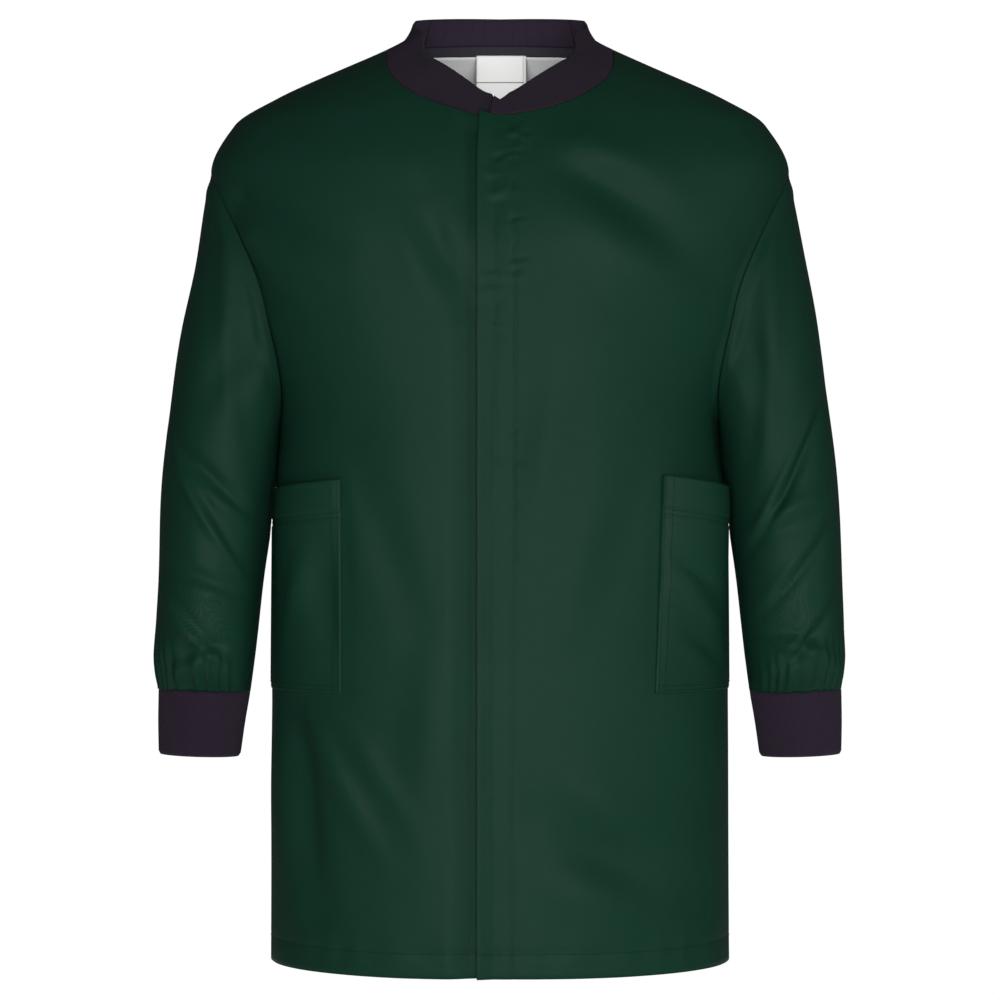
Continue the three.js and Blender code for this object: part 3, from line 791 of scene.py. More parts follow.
@dataclass
class FrontDrape:
    """Folds that both fronts share, over distance from the centre line and height."""

    rows: tuple[float, float] = (-4.4 * MM, 9.9 * MM)
    bars: Triple = (-0.0695, -0.372, -0.4135)
    folds: tuple[Fold, ...] = creases(
        (-0.195, -0.120, -0.108, -0.168, 0.011, -0.0050, True),
        (-0.190, -0.150, -0.130, -0.215, 0.012, 0.0030, True),
        (-0.060, -0.120, -0.026, -0.200, 0.013, -0.0052),
        (0.035, -0.080, 0.158, -0.168, 0.018, -0.0072),
        (0.060, -0.150, 0.165, -0.210, 0.018, 0.0030),
        (0.026, -0.070, 0.120, -0.104, 0.014, 0.0040),
        (0.006, -0.066, 0.016, -0.078, 0.0035, 0.0012),
        (0.012, -0.064, 0.026, -0.080, 0.0035, -0.0012),
        (0.030, -0.580, 0.140, -0.636, 0.020, -0.0090),
        (0.040, -0.540, 0.120, -0.600, 0.014, 0.0030),
        (-0.156, -0.485, -0.136, -0.650, 0.012, -0.0078),
        (-0.150, -0.495, -0.085, -0.610, 0.009, 0.0034),
        (-0.120, -0.500, -0.060, -0.590, 0.009, 0.0022),
        (-0.110, -0.300, -0.060, -0.440, 0.016, -0.0030),
        (0.110, -0.300, 0.070, -0.450, 0.016, -0.0026),
        (0.045, -0.230, 0.025, -0.380, 0.014, 0.0020),
        (-0.040, -0.420, -0.060, -0.600, 0.016, 0.0024),
    )
    ripple: Ripple = Ripple(seed=4, height=0.0026, shortest=0.07, longest=0.20)
    top: SmoothCurve = field(default_factory=lambda: SmoothCurve(
        (0.0, -0.058), (0.045, -0.050), (0.091, 0.0), (0.204, -0.057), (0.222, -0.094)))
    seed: int = 31
    pucker_count: int = 46
    top_calm: float = 0.045
    pocket_calm: float = 0.012
    bar_depth: float = 0.55 * MM
    bar_width: float = 0.0012
    hem_gather: float = 0.5 * MM

    def __post_init__(self) -> None:
        """Draws the small puckers beside the placket's rows, closest together near the top."""
        pick = np.random.default_rng(self.seed)
        puckers = []
        for _ in range(self.pucker_count):
            row, drop = pick.choice(self.rows), 0.070 + 0.60 * pick.random() ** 1.9
            reach = pick.uniform(0.005, 0.016) * pick.choice((-1, 1))
            end = (row + reach, -drop + pick.normal(0.0, 0.006))
            size = pick.uniform(0.35, 1.10) * MM * pick.choice((-1, 1))
            size *= 1 - 0.5 * min(1, drop / 0.5)
            puckers.append(Fold((row, -drop), end, pick.uniform(1.8, 3.6) * MM, size, True))
        self.puckers = puckers

    def __call__(self, x: Array, z: Array) -> Array:
        """How far the cloth stands out at each place."""
        calm = self.pocket_calm
        lift = self.ripple(x, z) + sum(fold(x, z) for fold in self.folds)
        lift = lift * ease((self.top(np.abs(x)) - z) / self.top_calm)
        under = ease((np.abs(x) - POCKET_EDGE + 0.014) / calm)
        under = under * ease((z + POCKET_TOP + POCKET_HEIGHT + calm) / calm)
        lift = lift * (1 - under * ease((-z - POCKET_TOP + calm) / calm))
        lift = lift + sum(pucker(x, z) for pucker in self.puckers)
        for row in self.rows:
            lift = lift - ROW_DEPTH * bell(x - row, ROW_WIDTH)
        between = ease((x - self.rows[0]) / MM) * ease((self.rows[1] - x) / MM)
        for bar in self.bars:
            lift = lift - self.bar_depth * bell(z - bar, self.bar_width) * between
        hem = z + FORM.hem - HEM_ROW
        lift = lift - ROW_DEPTH * bell(hem, HEM_WIDTH)
        gather = np.sin(x / 0.0042 + 2 * np.sin(x / 0.021)) * bell(hem, 0.012)
        return lift + self.hem_gather * gather


DRAPE = FrontDrape()


@dataclass
class Front:
    """One front with its facing, closure patches and stitching.

    Attributes:
        side: Which front it is. The left one lies over the right.
    """

    side: Side
    columns: int = 130
    rows: int = 250
    loop_depth: float = 2.6 * MM
    hook_depth: float = 3.9 * MM
    under_depth: float = 5.2 * MM
    neck_press: float = 2.9 * MM
    facing_reach: float = 11 * MM
    facing_rise: float = 0.4 * MM
    patch_width: float = 20 * MM
    patch_length: float = 42 * MM
    patch_top: float = 0.094
    patch_pitch: float = 0.149
    edge_stand: float = 2.3
    edge_swells: tuple[Triple, ...] = ((-0.10, 0.09, 1.4), (-0.68, 0.12, 0.9))
    edge_width: float = 0.0075
    top_shift: float = 1.6 * MM
    side_calm: float = 0.14
    swing_start: Vector = Vector((0.120, -0.095, -0.35))
    swing_end: Vector = Vector((0.0654, -0.1278, -0.35))

    def lay(self, angle: Array, z: Array, depth: float = 0.0, share: Array | float = 1.0) -> Array:
        """Points of a layer of this front.

        Args:
            angle: Angle round the section, from this front's own side.
            z: Height.
            depth: How deep the layer lies under the front's face.
            share: How much of the folds reaches each point.

        Returns:
            The points, one in each row.
        """
        p = FORM.point(angle, z, -1)
        own = p[..., 0]
        over = self.side is Side.LEFT
        sink = 0.0 if over else self.sink(own, z)
        lift = DRAPE(own * self.side.value, z) * share - sink - depth
        if over:
            lift = lift + self.curl(own, z)
        p = p + FORM.normal(p) * lift[..., None]
        if over:
            near = bell(z + FORM.front_neck_drop, 0.022) * ease((0.004 - own) / 0.016)
            p[..., 0] += self.top_shift * near
        p[..., 0] *= self.side.value
        return p

    def sink(self, own: Array, z: Array) -> Array:
        """How deep the lower front lies where the other one covers it."""
        depth = mix(self.neck_press, self.under_depth, ease((-FORM.front_neck_drop - z) / 0.012))
        return depth * ease((2.4 * FRONT_LAP - own) / (1.55 * FRONT_LAP))

    def curl(self, own: Array, z: Array) -> Array:
        """How far the upper front's free edge stands out."""
        stand = self.edge_stand
        for height, reach, more in self.edge_swells:
            stand = stand + more * bell(z - height, reach)
        curl = stand * MM * bell(own + FRONT_LAP, self.edge_width)
        return curl * (0.85 + 0.15 * np.sin(z / 0.024 + 2 * np.sin(z / 0.07)))

    def swing(self, piece: bpy.types.Object) -> None:
        """Bakes the piece's placement into its mesh."""
        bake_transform(piece)

    def surface(self, u: Array, v: Array) -> Array:
        """The front's face over shares across and up."""
        across = u**1.3
        angle, z = FORM.panel(across, v, -1, -FRONT_LAP)
        deep = mix(0.35, 0.7, ease((-z - FORM.underarm) / 0.03))
        seam = bell(1 - across, 0.008) * deep * MM
        p = self.lay(angle, z, 0.0, ease((1 - across) / self.side_calm))
        return p - np.stack([seam * self.side.value, seam * 0, seam * 0], axis=-1)

    def strip(self, near: float, far: float, depth: float) -> Surface:
        """A layer between two distances from the centre line, from hem to neckline."""
        def surface(u: Array, v: Array) -> Array:
            x = mix(near, far, u)
            top = np.interp(x, [-0.02, 0.0, 0.02], [-0.0592, -0.0598, -0.0592])
            z = mix(-FORM.hem + self.facing_rise, top, v)
            return self.lay(FORM.angle_at(x, z), z, depth)
        return surface

    def cloth(self) -> None:
        """Makes the front's outer cloth."""
        name = f"{self.side.word}_front"
        size = (self.columns, self.rows)
        piece = make_sheet(f"{name}_cloth", *size, self.surface, INSIDE, CLOTH)
        finish(piece, TWILL, "twill", f"{name}_side", f"{name}_flap")
        self.swing(piece)

    def facing(self) -> None:
        """Makes the turned-back facing behind the edge."""
        surface = self.strip(0.6 * MM - FRONT_LAP, self.facing_reach, CLOTH + GAP)
        piece = make_sheet(f"{self.side.word}_facing_cloth", 14, 230, surface, INSIDE, CLOTH * 0.8)
        finish(piece, TWILL, "twill", f"{self.side.word}_front_facing")
        self.swing(piece)

    def patches(self) -> None:
        """Makes this front's closure patches: loops on the left, hooks on the right."""
        loops = self.side is Side.LEFT
        name, depth = ("loop", self.loop_depth) if loops else ("hook", self.hook_depth)
        bm = bmesh.new()
        for i in range(PATCHES):
            middle = -self.patch_top - i * self.patch_pitch

            def surface(u: Array, v: Array) -> Array:
                x, z = (u - 0.5) * self.patch_width, middle + (v - 0.5) * self.patch_length
                p = FORM.point(FORM.angle_at(x, z), z, -1)
                return p + FORM.normal(p) * (DRAPE(x, z) - depth)[..., None]

            add_grid(bm, 20, 42, surface, INSIDE)
        piece = thicken(make_object(f"{name}_patches", bm), 0.8 * MM)
        finish(piece, FASTENER, "closure_tape", *[f"{name}_patch_{i + 1}" for i in range(PATCHES)])
        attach(piece, f"{self.side.word}_front")

    def stitches(self) -> None:
        """Sews the hem, and on the left front the two rows and three bars of the placket."""
        bm = bmesh.new()
        sew_on(bm, self.surface, np.linspace(0.006, 0.985, 600), HEM_SHARE)
        if self.side is Side.LEFT:
            for row in DRAPE.rows:
                self.sew_line(bm, row, mix(-FORM.hem + 0.002, -0.0625, np.linspace(0, 1, 900)))
            for height in DRAPE.bars:
                self.sew_line(bm, np.linspace(*DRAPE.rows, 30), height)
        self.swing(sewn_piece(f"{self.side.word}_front_stitches", bm))

    def sew_line(self, bm: bmesh.types.BMesh, x: Array | float, z: Array | float) -> None:
        """Sews one row over distances from the centre line and heights."""
        x, z = spread(x, z)
        p = self.lay(FORM.angle_at(x, z), z)
        flip = np.array([self.side.value, 1, 1])
        Stitching().sew(bm, p, FORM.normal(p * flip) * flip)

    def make(self) -> None:
        """Makes every piece of this front."""
        self.cloth()
        self.facing()
        self.patches()
        self.stitches()
        LOG.info("%s front with its facing, patches and stitches", self.side.word)


def spread(*values: Array | float) -> list[Array]:
    """Gives every value the length of the longest."""
    return [np.array(value, float) for value in np.broadcast_arrays(*values)]


def sew_on(
    bm: bmesh.types.BMesh, surface: Surface, u: Array | float, v: Array | float,
    inside: Array = INSIDE, face: int = 1,
) -> None:
    """Sews one row over a surface.

    Args:
        bm: The mesh that the stitches join.
        surface: The cloth's face.
        u: First shares along the row, or one for all of it.
        v: Second shares along the row, or one for all of it.
        inside: A point on the hollow side.
        face: 1 to sew on the side away from that point, -1 to sew on the side towards it.
    """
    u, v = spread(u, v)
    Stitching().sew(bm, surface(u, v), measured_normal(surface, u, v, inside) * face)


def sewn_piece(
    name: str, bm: bmesh.types.BMesh, look: Finish | None = None, body: str | None = None
) -> bpy.types.Object:
    """Turns sewn stitches into a piece of thread.

    Args:
        name: The piece's name.
        bm: The stitches.
        look: The thread's finish, if it is not the green one.
        body: The body that it rides, if it rides one.

    Returns:
        The thread.
    """
    piece = make_object(name, bm)
    finish(piece, look or THREAD, "thread")
    if body:
        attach(piece, body)
    return piece


MADE: dict[str, bpy.types.Material] = {}


def finish(piece: bpy.types.Object, look: Finish, slot: str, *nodes: str) -> None:
    """Dresses a piece and hides the frame nodes that it stands for.

    Args:
        piece: The piece.
        look: Its finish.
        slot: A material slot's name, not used.
        nodes: Frame nodes that it replaces.
    """
    if look.name not in MADE:
        MADE[look.name] = look.make()
    piece.data.materials.clear()
    piece.data.materials.append(MADE[look.name])
    if nodes:
        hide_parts(*nodes)


# ---- The back -----------------------------------------------------------------------------------
@dataclass
class Back:
    """The back panel with its hem stitching."""

    columns: int = 150
    rows: int = 220
    folds: tuple[Fold, ...] = creases(
        (-0.175, -0.150, -0.070, -0.240, 0.013, -0.0055, True),
        (-0.180, -0.200, -0.095, -0.320, 0.012, 0.0040, True),
        (0.175, -0.150, 0.075, -0.245, 0.013, -0.0055, True),
        (0.180, -0.205, 0.090, -0.330, 0.012, 0.0040, True),
        (-0.030, -0.120, -0.055, -0.420, 0.018, 0.0042),
        (0.030, -0.130, 0.050, -0.360, 0.017, -0.0036),
        (0.060, -0.300, 0.035, -0.640, 0.018, 0.0050),
        (-0.100, -0.380, -0.080, -0.680, 0.017, -0.0058),
        (0.120, -0.420, 0.128, -0.690, 0.015, 0.0048),
        (-0.140, -0.500, -0.135, -0.690, 0.013, 0.0042),
    )
    ripple: Ripple = Ripple(seed=9, height=0.0034, shortest=0.07, longest=0.22)
    tuck: tuple[float, float] = (1.5 * MM, 1.2 * MM)
    tuck_width: float = 0.006

    def surface(self, u: Array, v: Array) -> Array:
        """The back's face over shares across, from right to left, and up."""
        across = np.abs(2 * u - 1)
        angle, z = FORM.panel(across, v, 1, 0.0)
        p = FORM.point(angle, z, 1)
        side = np.where(u < 0.5, -1.0, 1.0)
        x = p[..., 0] * side
        lift = self.ripple(x, z) + sum(fold(x, z) for fold in self.folds)
        lift = lift * ease((1 - across) / 0.14) * ease((-0.085 - z) / 0.06)
        lift = lift - ROW_DEPTH * bell(z + FORM.hem - HEM_ROW, HEM_WIDTH)
        p = p + FORM.normal(p) * lift[..., None]
        tuck = bell(1 - across, self.tuck_width)
        for axis, reach in enumerate(self.tuck):
            p[..., axis] -= tuck * reach
        p[..., 0] *= side
        return p

    def make(self) -> None:
        """Makes the panel and its stitching."""
        piece = make_sheet("back_cloth", self.columns, self.rows, self.surface, INSIDE, CLOTH)
        finish(piece, TWILL, "twill", "back_panel")
        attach(piece, "torso")
        bm = bmesh.new()
        sew_on(bm, self.surface, np.linspace(0.01, 0.99, 900), HEM_SHARE)
        sewn_piece("back_hem_stitches", bm, body="torso")
        LOG.info("back panel")


# ---- Pockets ------------------------------------------------------------------------------------
@dataclass
class Pocket:
    """A patch pocket with a turned hem and double stitching, open at the top."""

    side: Side
    full_share: float = 0.72
    splay: float = 2.5 * MM
    hem_share: float = 0.156
    hem_relief: float = 0.8 * MM
    row_gap: float = 3.4 * MM
    width: float = 0.085

    def __post_init__(self) -> None:
        """Sets the mouth's height at the inner edge and its fall towards the side."""
        left = self.side is Side.LEFT
        drop, tilt, bulge = (4.2, 5.0, 14) if left else (0.8, 0.0, 7)
        self.top = POCKET_TOP - drop * MM
        self.slant = POCKET_SLANT + tilt * MM
        self.ease = bulge * MM

    def folds(self) -> tuple[Fold, ...]:
        """Creases of this pocket, over metres across from its inner edge and up from its base."""
        if self.side is Side.RIGHT:
            return creases(
                (0.004, 0.015, 0.012, 0.125, 0.010, -0.0034),
                (0.016, 0.120, 0.040, 0.040, 0.008, 0.0020),
            )
        return creases(
            (0.000, 0.110, 0.040, 0.070, 0.006, -0.0026),
            (0.002, 0.085, 0.045, 0.045, 0.006, 0.0024),
            (0.004, 0.055, 0.050, 0.020, 0.006, -0.0022),
        )

    def surface(self, u: Array, v: Array) -> Array:
        """The pocket's face over shares from its inner edge outward and from its base up."""
        splay = self.splay * (2 * v - 1) if self.side is Side.LEFT else 0.0
        fall = 1 - (1 - u) ** 1.9
        z = mix(-POCKET_TOP - POCKET_HEIGHT, -self.top - self.slant * fall, v)
        inner = FORM.angle_at(POCKET_EDGE + splay, z)
        p = FORM.point(mix(inner, 0.008, u), z, -1)
        hang = np.sin(math.pi * np.clip(u / self.full_share, 0, 1)) ** 0.8
        bulge = self.ease * hang * np.sin(RIGHT_ANGLE * np.minimum(1, v * 1.6)) * mix(0.6, 1, v)
        edge = ease(u / 0.06) * ease(v / 0.05)
        sewn = mix(CLOTH + 0.15 * MM, 0.35 * MM, ease((u - 0.8) / 0.2))
        lift = mix(sewn, GAP + 1.2 * MM, edge * ease((1 - u) / 0.15)) + bulge
        width, height = u * self.width, v * POCKET_HEIGHT
        folds = sum(fold(width, height) for fold in self.folds()) * edge
        lift = lift + folds * ease((self.full_share - u) / 0.2) * ease((1 - v) / 0.25)
        for share in self.hem_rows():
            lift = lift - self.hem_relief * bell(v - share, 0.007)
        lift = lift + self.hem_relief * ease((v - 1 + self.hem_share) / 0.02)
        p = p + FORM.normal(p) * lift[..., None]
        p[..., 1] = np.minimum(p[..., 1], -0.5 * MM)
        p[..., 0] *= self.side.value
        return p

    def hem_rows(self) -> tuple[float, float]:
        """Heights of the two rows that hold the turned hem, as shares."""
        return 1 - self.hem_share, 1 - self.hem_share - self.row_gap / POCKET_HEIGHT

    def hem_lining(self, u: Array, v: Array) -> Array:
        """The turned-in layer behind the mouth."""
        v = mix(1 - self.hem_share - 0.01, 0.998, v)
        out = measured_normal(self.surface, u, v, INSIDE)
        return self.surface(u, v) - out * (CLOTH + 0.1 * MM)

    def make(self) -> None:
        """Makes the pocket, the turned hem behind its mouth and its stitching."""
        word = self.side.word
        piece = make_sheet(f"{word}_pocket_cloth", 64, 90, self.surface, INSIDE, CLOTH)
        finish(piece, TWILL, "twill", f"{word}_pocket")
        turned = make_sheet(f"{word}_pocket_hem", 64, 10, self.hem_lining, INSIDE, CLOTH * 0.7)
        finish(turned, TWILL, "twill")
        bm = bmesh.new()
        run = np.linspace(0.01, 0.99, 240)
        for inset in (0.02, 0.06):
            sew_on(bm, self.surface, inset, run)
            sew_on(bm, self.surface, run, inset * 0.55)
        for share in self.hem_rows():
            sew_on(bm, self.surface, run, share)
        for item in (piece, turned, sewn_piece(f"{word}_pocket_stitches", bm)):
            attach(item, "torso")
        LOG.info("%s pocket", word)


# ---- Sleeves and cuffs --------------------------------------------------------------------------
def rib_profile(phase: Array) -> Array:
    """The round-topped outline of a knit's ribs, one to each half turn of the phase."""
    return np.abs(np.cos(phase)) ** 0.8 - 0.6


def folded_edge(v: Array, sharpness: int, depth: float = 1.1 * MM) -> Array:
    """How far a doubled knit rolls in at its two long edges, where v is 0 and 1."""
    return depth * (1 - np.sqrt(np.clip(1 - np.abs(2 * v - 1) ** sharpness, 0, 1)))


@dataclass
class Sleeve:
    """A set-in sleeve gathered into a ribbed cuff."""

    side: Side
    end_drop: float = 0.490
    half_depth: float = 0.060
    forward: float = 0.015
    reach: float = 0.044
    end_width: float = 0.070
    pocket_clear: float = 2.6 * MM
    cuff_height: float = 0.049
    cuff_half_depth: float = 0.027
    cuff_taper: float = 0.004
    rib_pitch: float = 1.9 * MM
    rib_height: float = 0.55 * MM
    cuff_wall: float = 2.0 * MM
    slim: float = 2.2 * MM
    fold_radius: float = 0.055
    fold_length: float = 0.4
    gather: float = 1.3 * MM
    head_roll: float = 0.9 * MM
    cuff_radius: float = 0.0305
    swing_start: Vector = Vector((0.168, 0.0, -0.285))
    swing_run: Vector = Vector((0.87, 0.0, -0.5)) * 0.095

    def __post_init__(self) -> None:
        """Draws the sleeve's outer line, inner line and depth."""
        self.end_x = FORM.shoulder_half_width + self.reach - 3 * MM
        edge = FORM.shoulder_half_width + self.reach
        self.outer_x = SmoothCurve(
            (-self.end_drop, self.end_x), (-self.end_drop + 0.030, edge),
            (-FORM.underarm - 0.113, edge - 3 * MM), (-FORM.underarm - 0.021, edge - 10 * MM),
            (-FORM.underarm + 0.072, edge - 22 * MM),
            (-FORM.shoulder - 0.058, FORM.shoulder_half_width + 11 * MM),
            (-FORM.shoulder, FORM.shoulder_half_width),
        )
        end = self.end_x - self.end_width
        self.inner_x = SmoothCurve(
            (-self.end_drop, end), (-self.end_drop + 0.030, end - 4 * MM),
            (-self.end_drop + 0.077, end - 10.5 * MM), (-FORM.waist, FORM.waist_half_width + MM),
            (-FORM.underarm, FORM.underarm_half_width - 1 * MM),
        )
        half = self.half_depth
        self.depth = SmoothCurve(
            (0.0, FORM.armhole_half_depth), (0.18, half + 1 * MM), (0.45, half - 2 * MM),
            (0.75, half - 9 * MM), (0.93, half - 15 * MM), (1.0, self.cuff_half_depth + 2 * MM),
        )

    def base(self, s: Array, turn: Array) -> Array:
        """The smooth sleeve: s runs down it, turn goes round from the top, through the front."""
        zero = np.zeros_like(s)
        low = (1 - np.cos(turn)) / 2
        outer_z = mix(-FORM.shoulder - 2 * GAP, -self.end_drop + 2 * MM, s)
        inner_z = mix(-FORM.underarm + 2 * GAP, -self.end_drop, s)
        outer = np.stack([self.outer_x(outer_z), zero, outer_z], axis=-1)
        inner = np.stack([self.inner_x(inner_z), zero, inner_z], axis=-1)
        p = mix(outer, inner, low[..., None])
        p[..., 1] = -np.sin(turn) * self.depth(s) - self.forward * ease(s * 1.1)
        in_set = (1 - np.clip(s / 0.3, 0, 1)) ** 2
        y, z = FORM.armhole(1 - np.abs(turn) / math.pi, np.where(turn < 0, 1.0, -1.0))
        edge = np.stack([FORM.side_x(y, z) - GAP, y, z], axis=-1)
        top = np.array([float(self.outer_x(-FORM.shoulder)), 0, -FORM.shoulder - 2 * GAP])
        bottom = np.array([float(self.inner_x(-FORM.underarm)), 0, -FORM.underarm + 2 * GAP])
        start = mix(top, bottom, low[..., None])
        start[..., 1] = -np.sin(turn) * float(self.depth(0.0))
        p = p + (edge - start) * in_set[..., None]
        y, z = p[..., 1], p[..., 2]
        clear = self.pocket_clear * ease((-z - POCKET_TOP + 0.003) / 0.012) + GAP * ease(s / 0.05)
        p[..., 0] = np.maximum(p[..., 0], FORM.side_x(y, z) + clear)
        return p

    def folds(self) -> tuple[Fold, ...]:
        """Folds over metres round the sleeve from its top, forward, and metres down it."""
        if self.side is Side.LEFT:
            return creases(
                (0.060, 0.015, 0.110, 0.150, 0.012, 0.0036, True),
                (0.100, 0.020, 0.075, 0.140, 0.010, -0.0034, True),
                (0.020, 0.165, 0.140, 0.215, 0.009, -0.0052),
                (0.140, 0.180, 0.040, 0.245, 0.009, 0.0040),
                (0.030, 0.260, 0.130, 0.300, 0.009, -0.0036),
                (0.030, 0.385, 0.140, 0.325, 0.007, 0.0042),
                (0.040, 0.325, 0.120, 0.380, 0.007, -0.0044),
                (-0.020, 0.170, -0.140, 0.220, 0.010, -0.0045),
                (-0.140, 0.200, -0.040, 0.270, 0.010, 0.0036),
                (-0.040, 0.330, -0.120, 0.380, 0.008, -0.0040),
            )
        return creases(
            (0.055, 0.015, 0.100, 0.130, 0.012, 0.0032, True),
            (0.095, 0.030, 0.060, 0.160, 0.010, -0.0032, True),
            (0.140, 0.160, 0.030, 0.210, 0.009, -0.0050),
            (0.025, 0.200, 0.130, 0.250, 0.009, 0.0040),
            (0.130, 0.270, 0.040, 0.300, 0.008, -0.0036),
            (0.030, 0.320, 0.130, 0.375, 0.007, 0.0042),
            (0.130, 0.330, 0.035, 0.385, 0.007, -0.0042),
            (-0.030, 0.180, -0.130, 0.215, 0.010, -0.0042),
            (-0.130, 0.230, -0.030, 0.280, 0.010, 0.0036),
            (-0.050, 0.330, -0.130, 0.375, 0.008, -0.0040),
        )

    def surface(self, u: Array, v: Array) -> Array:
        """The sleeve with its folds, over shares round and down."""
        turn = (2 * u - 1) * math.pi
        p = self.base(v, turn)
        hub = (self.base(v, turn * 0) + self.base(v, turn * 0 + math.pi)) / 2

        def bare(a: Array, b: Array) -> Array:
            return self.base(b, (2 * a - 1) * math.pi)

        out = measured_normal(bare, np.clip(u, 0.002, 0.998), v, hub)
        radius, down = self.fold_radius, v * self.fold_length
        seed = 21 if self.side is Side.LEFT else 22
        ripple = Ripple(seed, height=0.0016, shortest=0.05, longest=0.13, upright=1.2)
        lift = sum(fold(turn * radius, down) for fold in self.folds())
        lift = lift + ripple(np.cos(turn) * radius, down + np.sin(turn) * radius)
        gather = ease((v - 0.86) / 0.10) * (1 - 0.5 * ease((v - 0.97) / 0.03))
        gather = self.gather * gather * np.sin(turn * 23 + 2.2 * np.sin(turn * 5 + seed))
        lift = lift + gather
        lift = lift * ease(v / 0.06)
        room = np.clip((np.cos(turn) + 0.95) / 0.5, 0, 1)
        lift = np.where(lift > 0, lift * room, lift * (0.06 + 0.94 * room))
        head = hump((v - 0.004) / 0.05) * ease((np.cos(turn) + 0.7) / 0.6)
        lift = lift + self.head_roll * head
        p = p + out * lift[..., None]
        p[..., 0] -= self.slim * ease((v - 0.50) / 0.40)
        p[..., 0] *= self.side.value
        return p

    def cuff_surface(self, u: Array, v: Array) -> Array:
        """The cuff's ribbed face, over shares round and down."""
        turn = (2 * u - 1) * math.pi
        ribs = round(2 * math.pi * self.cuff_radius / self.rib_pitch)
        rib = self.rib_height * rib_profile(ribs * turn / 2)
        fade = ease(v / 0.05) * ease((1 - v) / 0.04)
        fold = -folded_edge(v, 22)
        wave = 0.9 * MM * np.sin(3 * turn + 1.0) * hump(v)
        half = self.end_width / 2 - self.cuff_taper * v + rib * fade + fold + wave * 0.4
        depth = self.cuff_half_depth - self.cuff_taper * v * 0.5 + rib * fade + fold
        middle = self.end_x - self.end_width / 2 + self.cuff_taper * v
        x = middle - self.slim + half * np.cos(turn)
        y = -self.forward - depth * np.sin(turn)
        z = -self.end_drop + 1.5 * MM - (self.cuff_height + 2 * MM) * v + (1 + np.cos(turn)) * MM
        return np.stack([x * self.side.value, y, z], axis=-1)

    def make(self) -> None:
        """Makes the sleeve and its cuff."""
        word, name = self.side.word, f"{self.side.word}_sleeve"
        hub = np.array([0.225 * self.side.value, -0.008, -0.34])
        piece = make_sheet(f"{name}_cloth", 144, 160, self.surface, hub, CLOTH, closed=True)
        finish(piece, TWILL, "twill", name)
        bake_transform(piece)
        hub = np.array([self.side.value * 0.229, -self.forward, -self.end_drop - 0.025])
        size = (500, 22)
        cuff = make_sheet(
            f"{word}_cuff_knit", *size, self.cuff_surface, hub, self.cuff_wall, closed=True
        )
        finish(cuff, RIB, "rib_knit", f"{word}_cuff")
        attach(cuff, f"{word}_sleeve")
        LOG.info("%s sleeve and cuff", word)


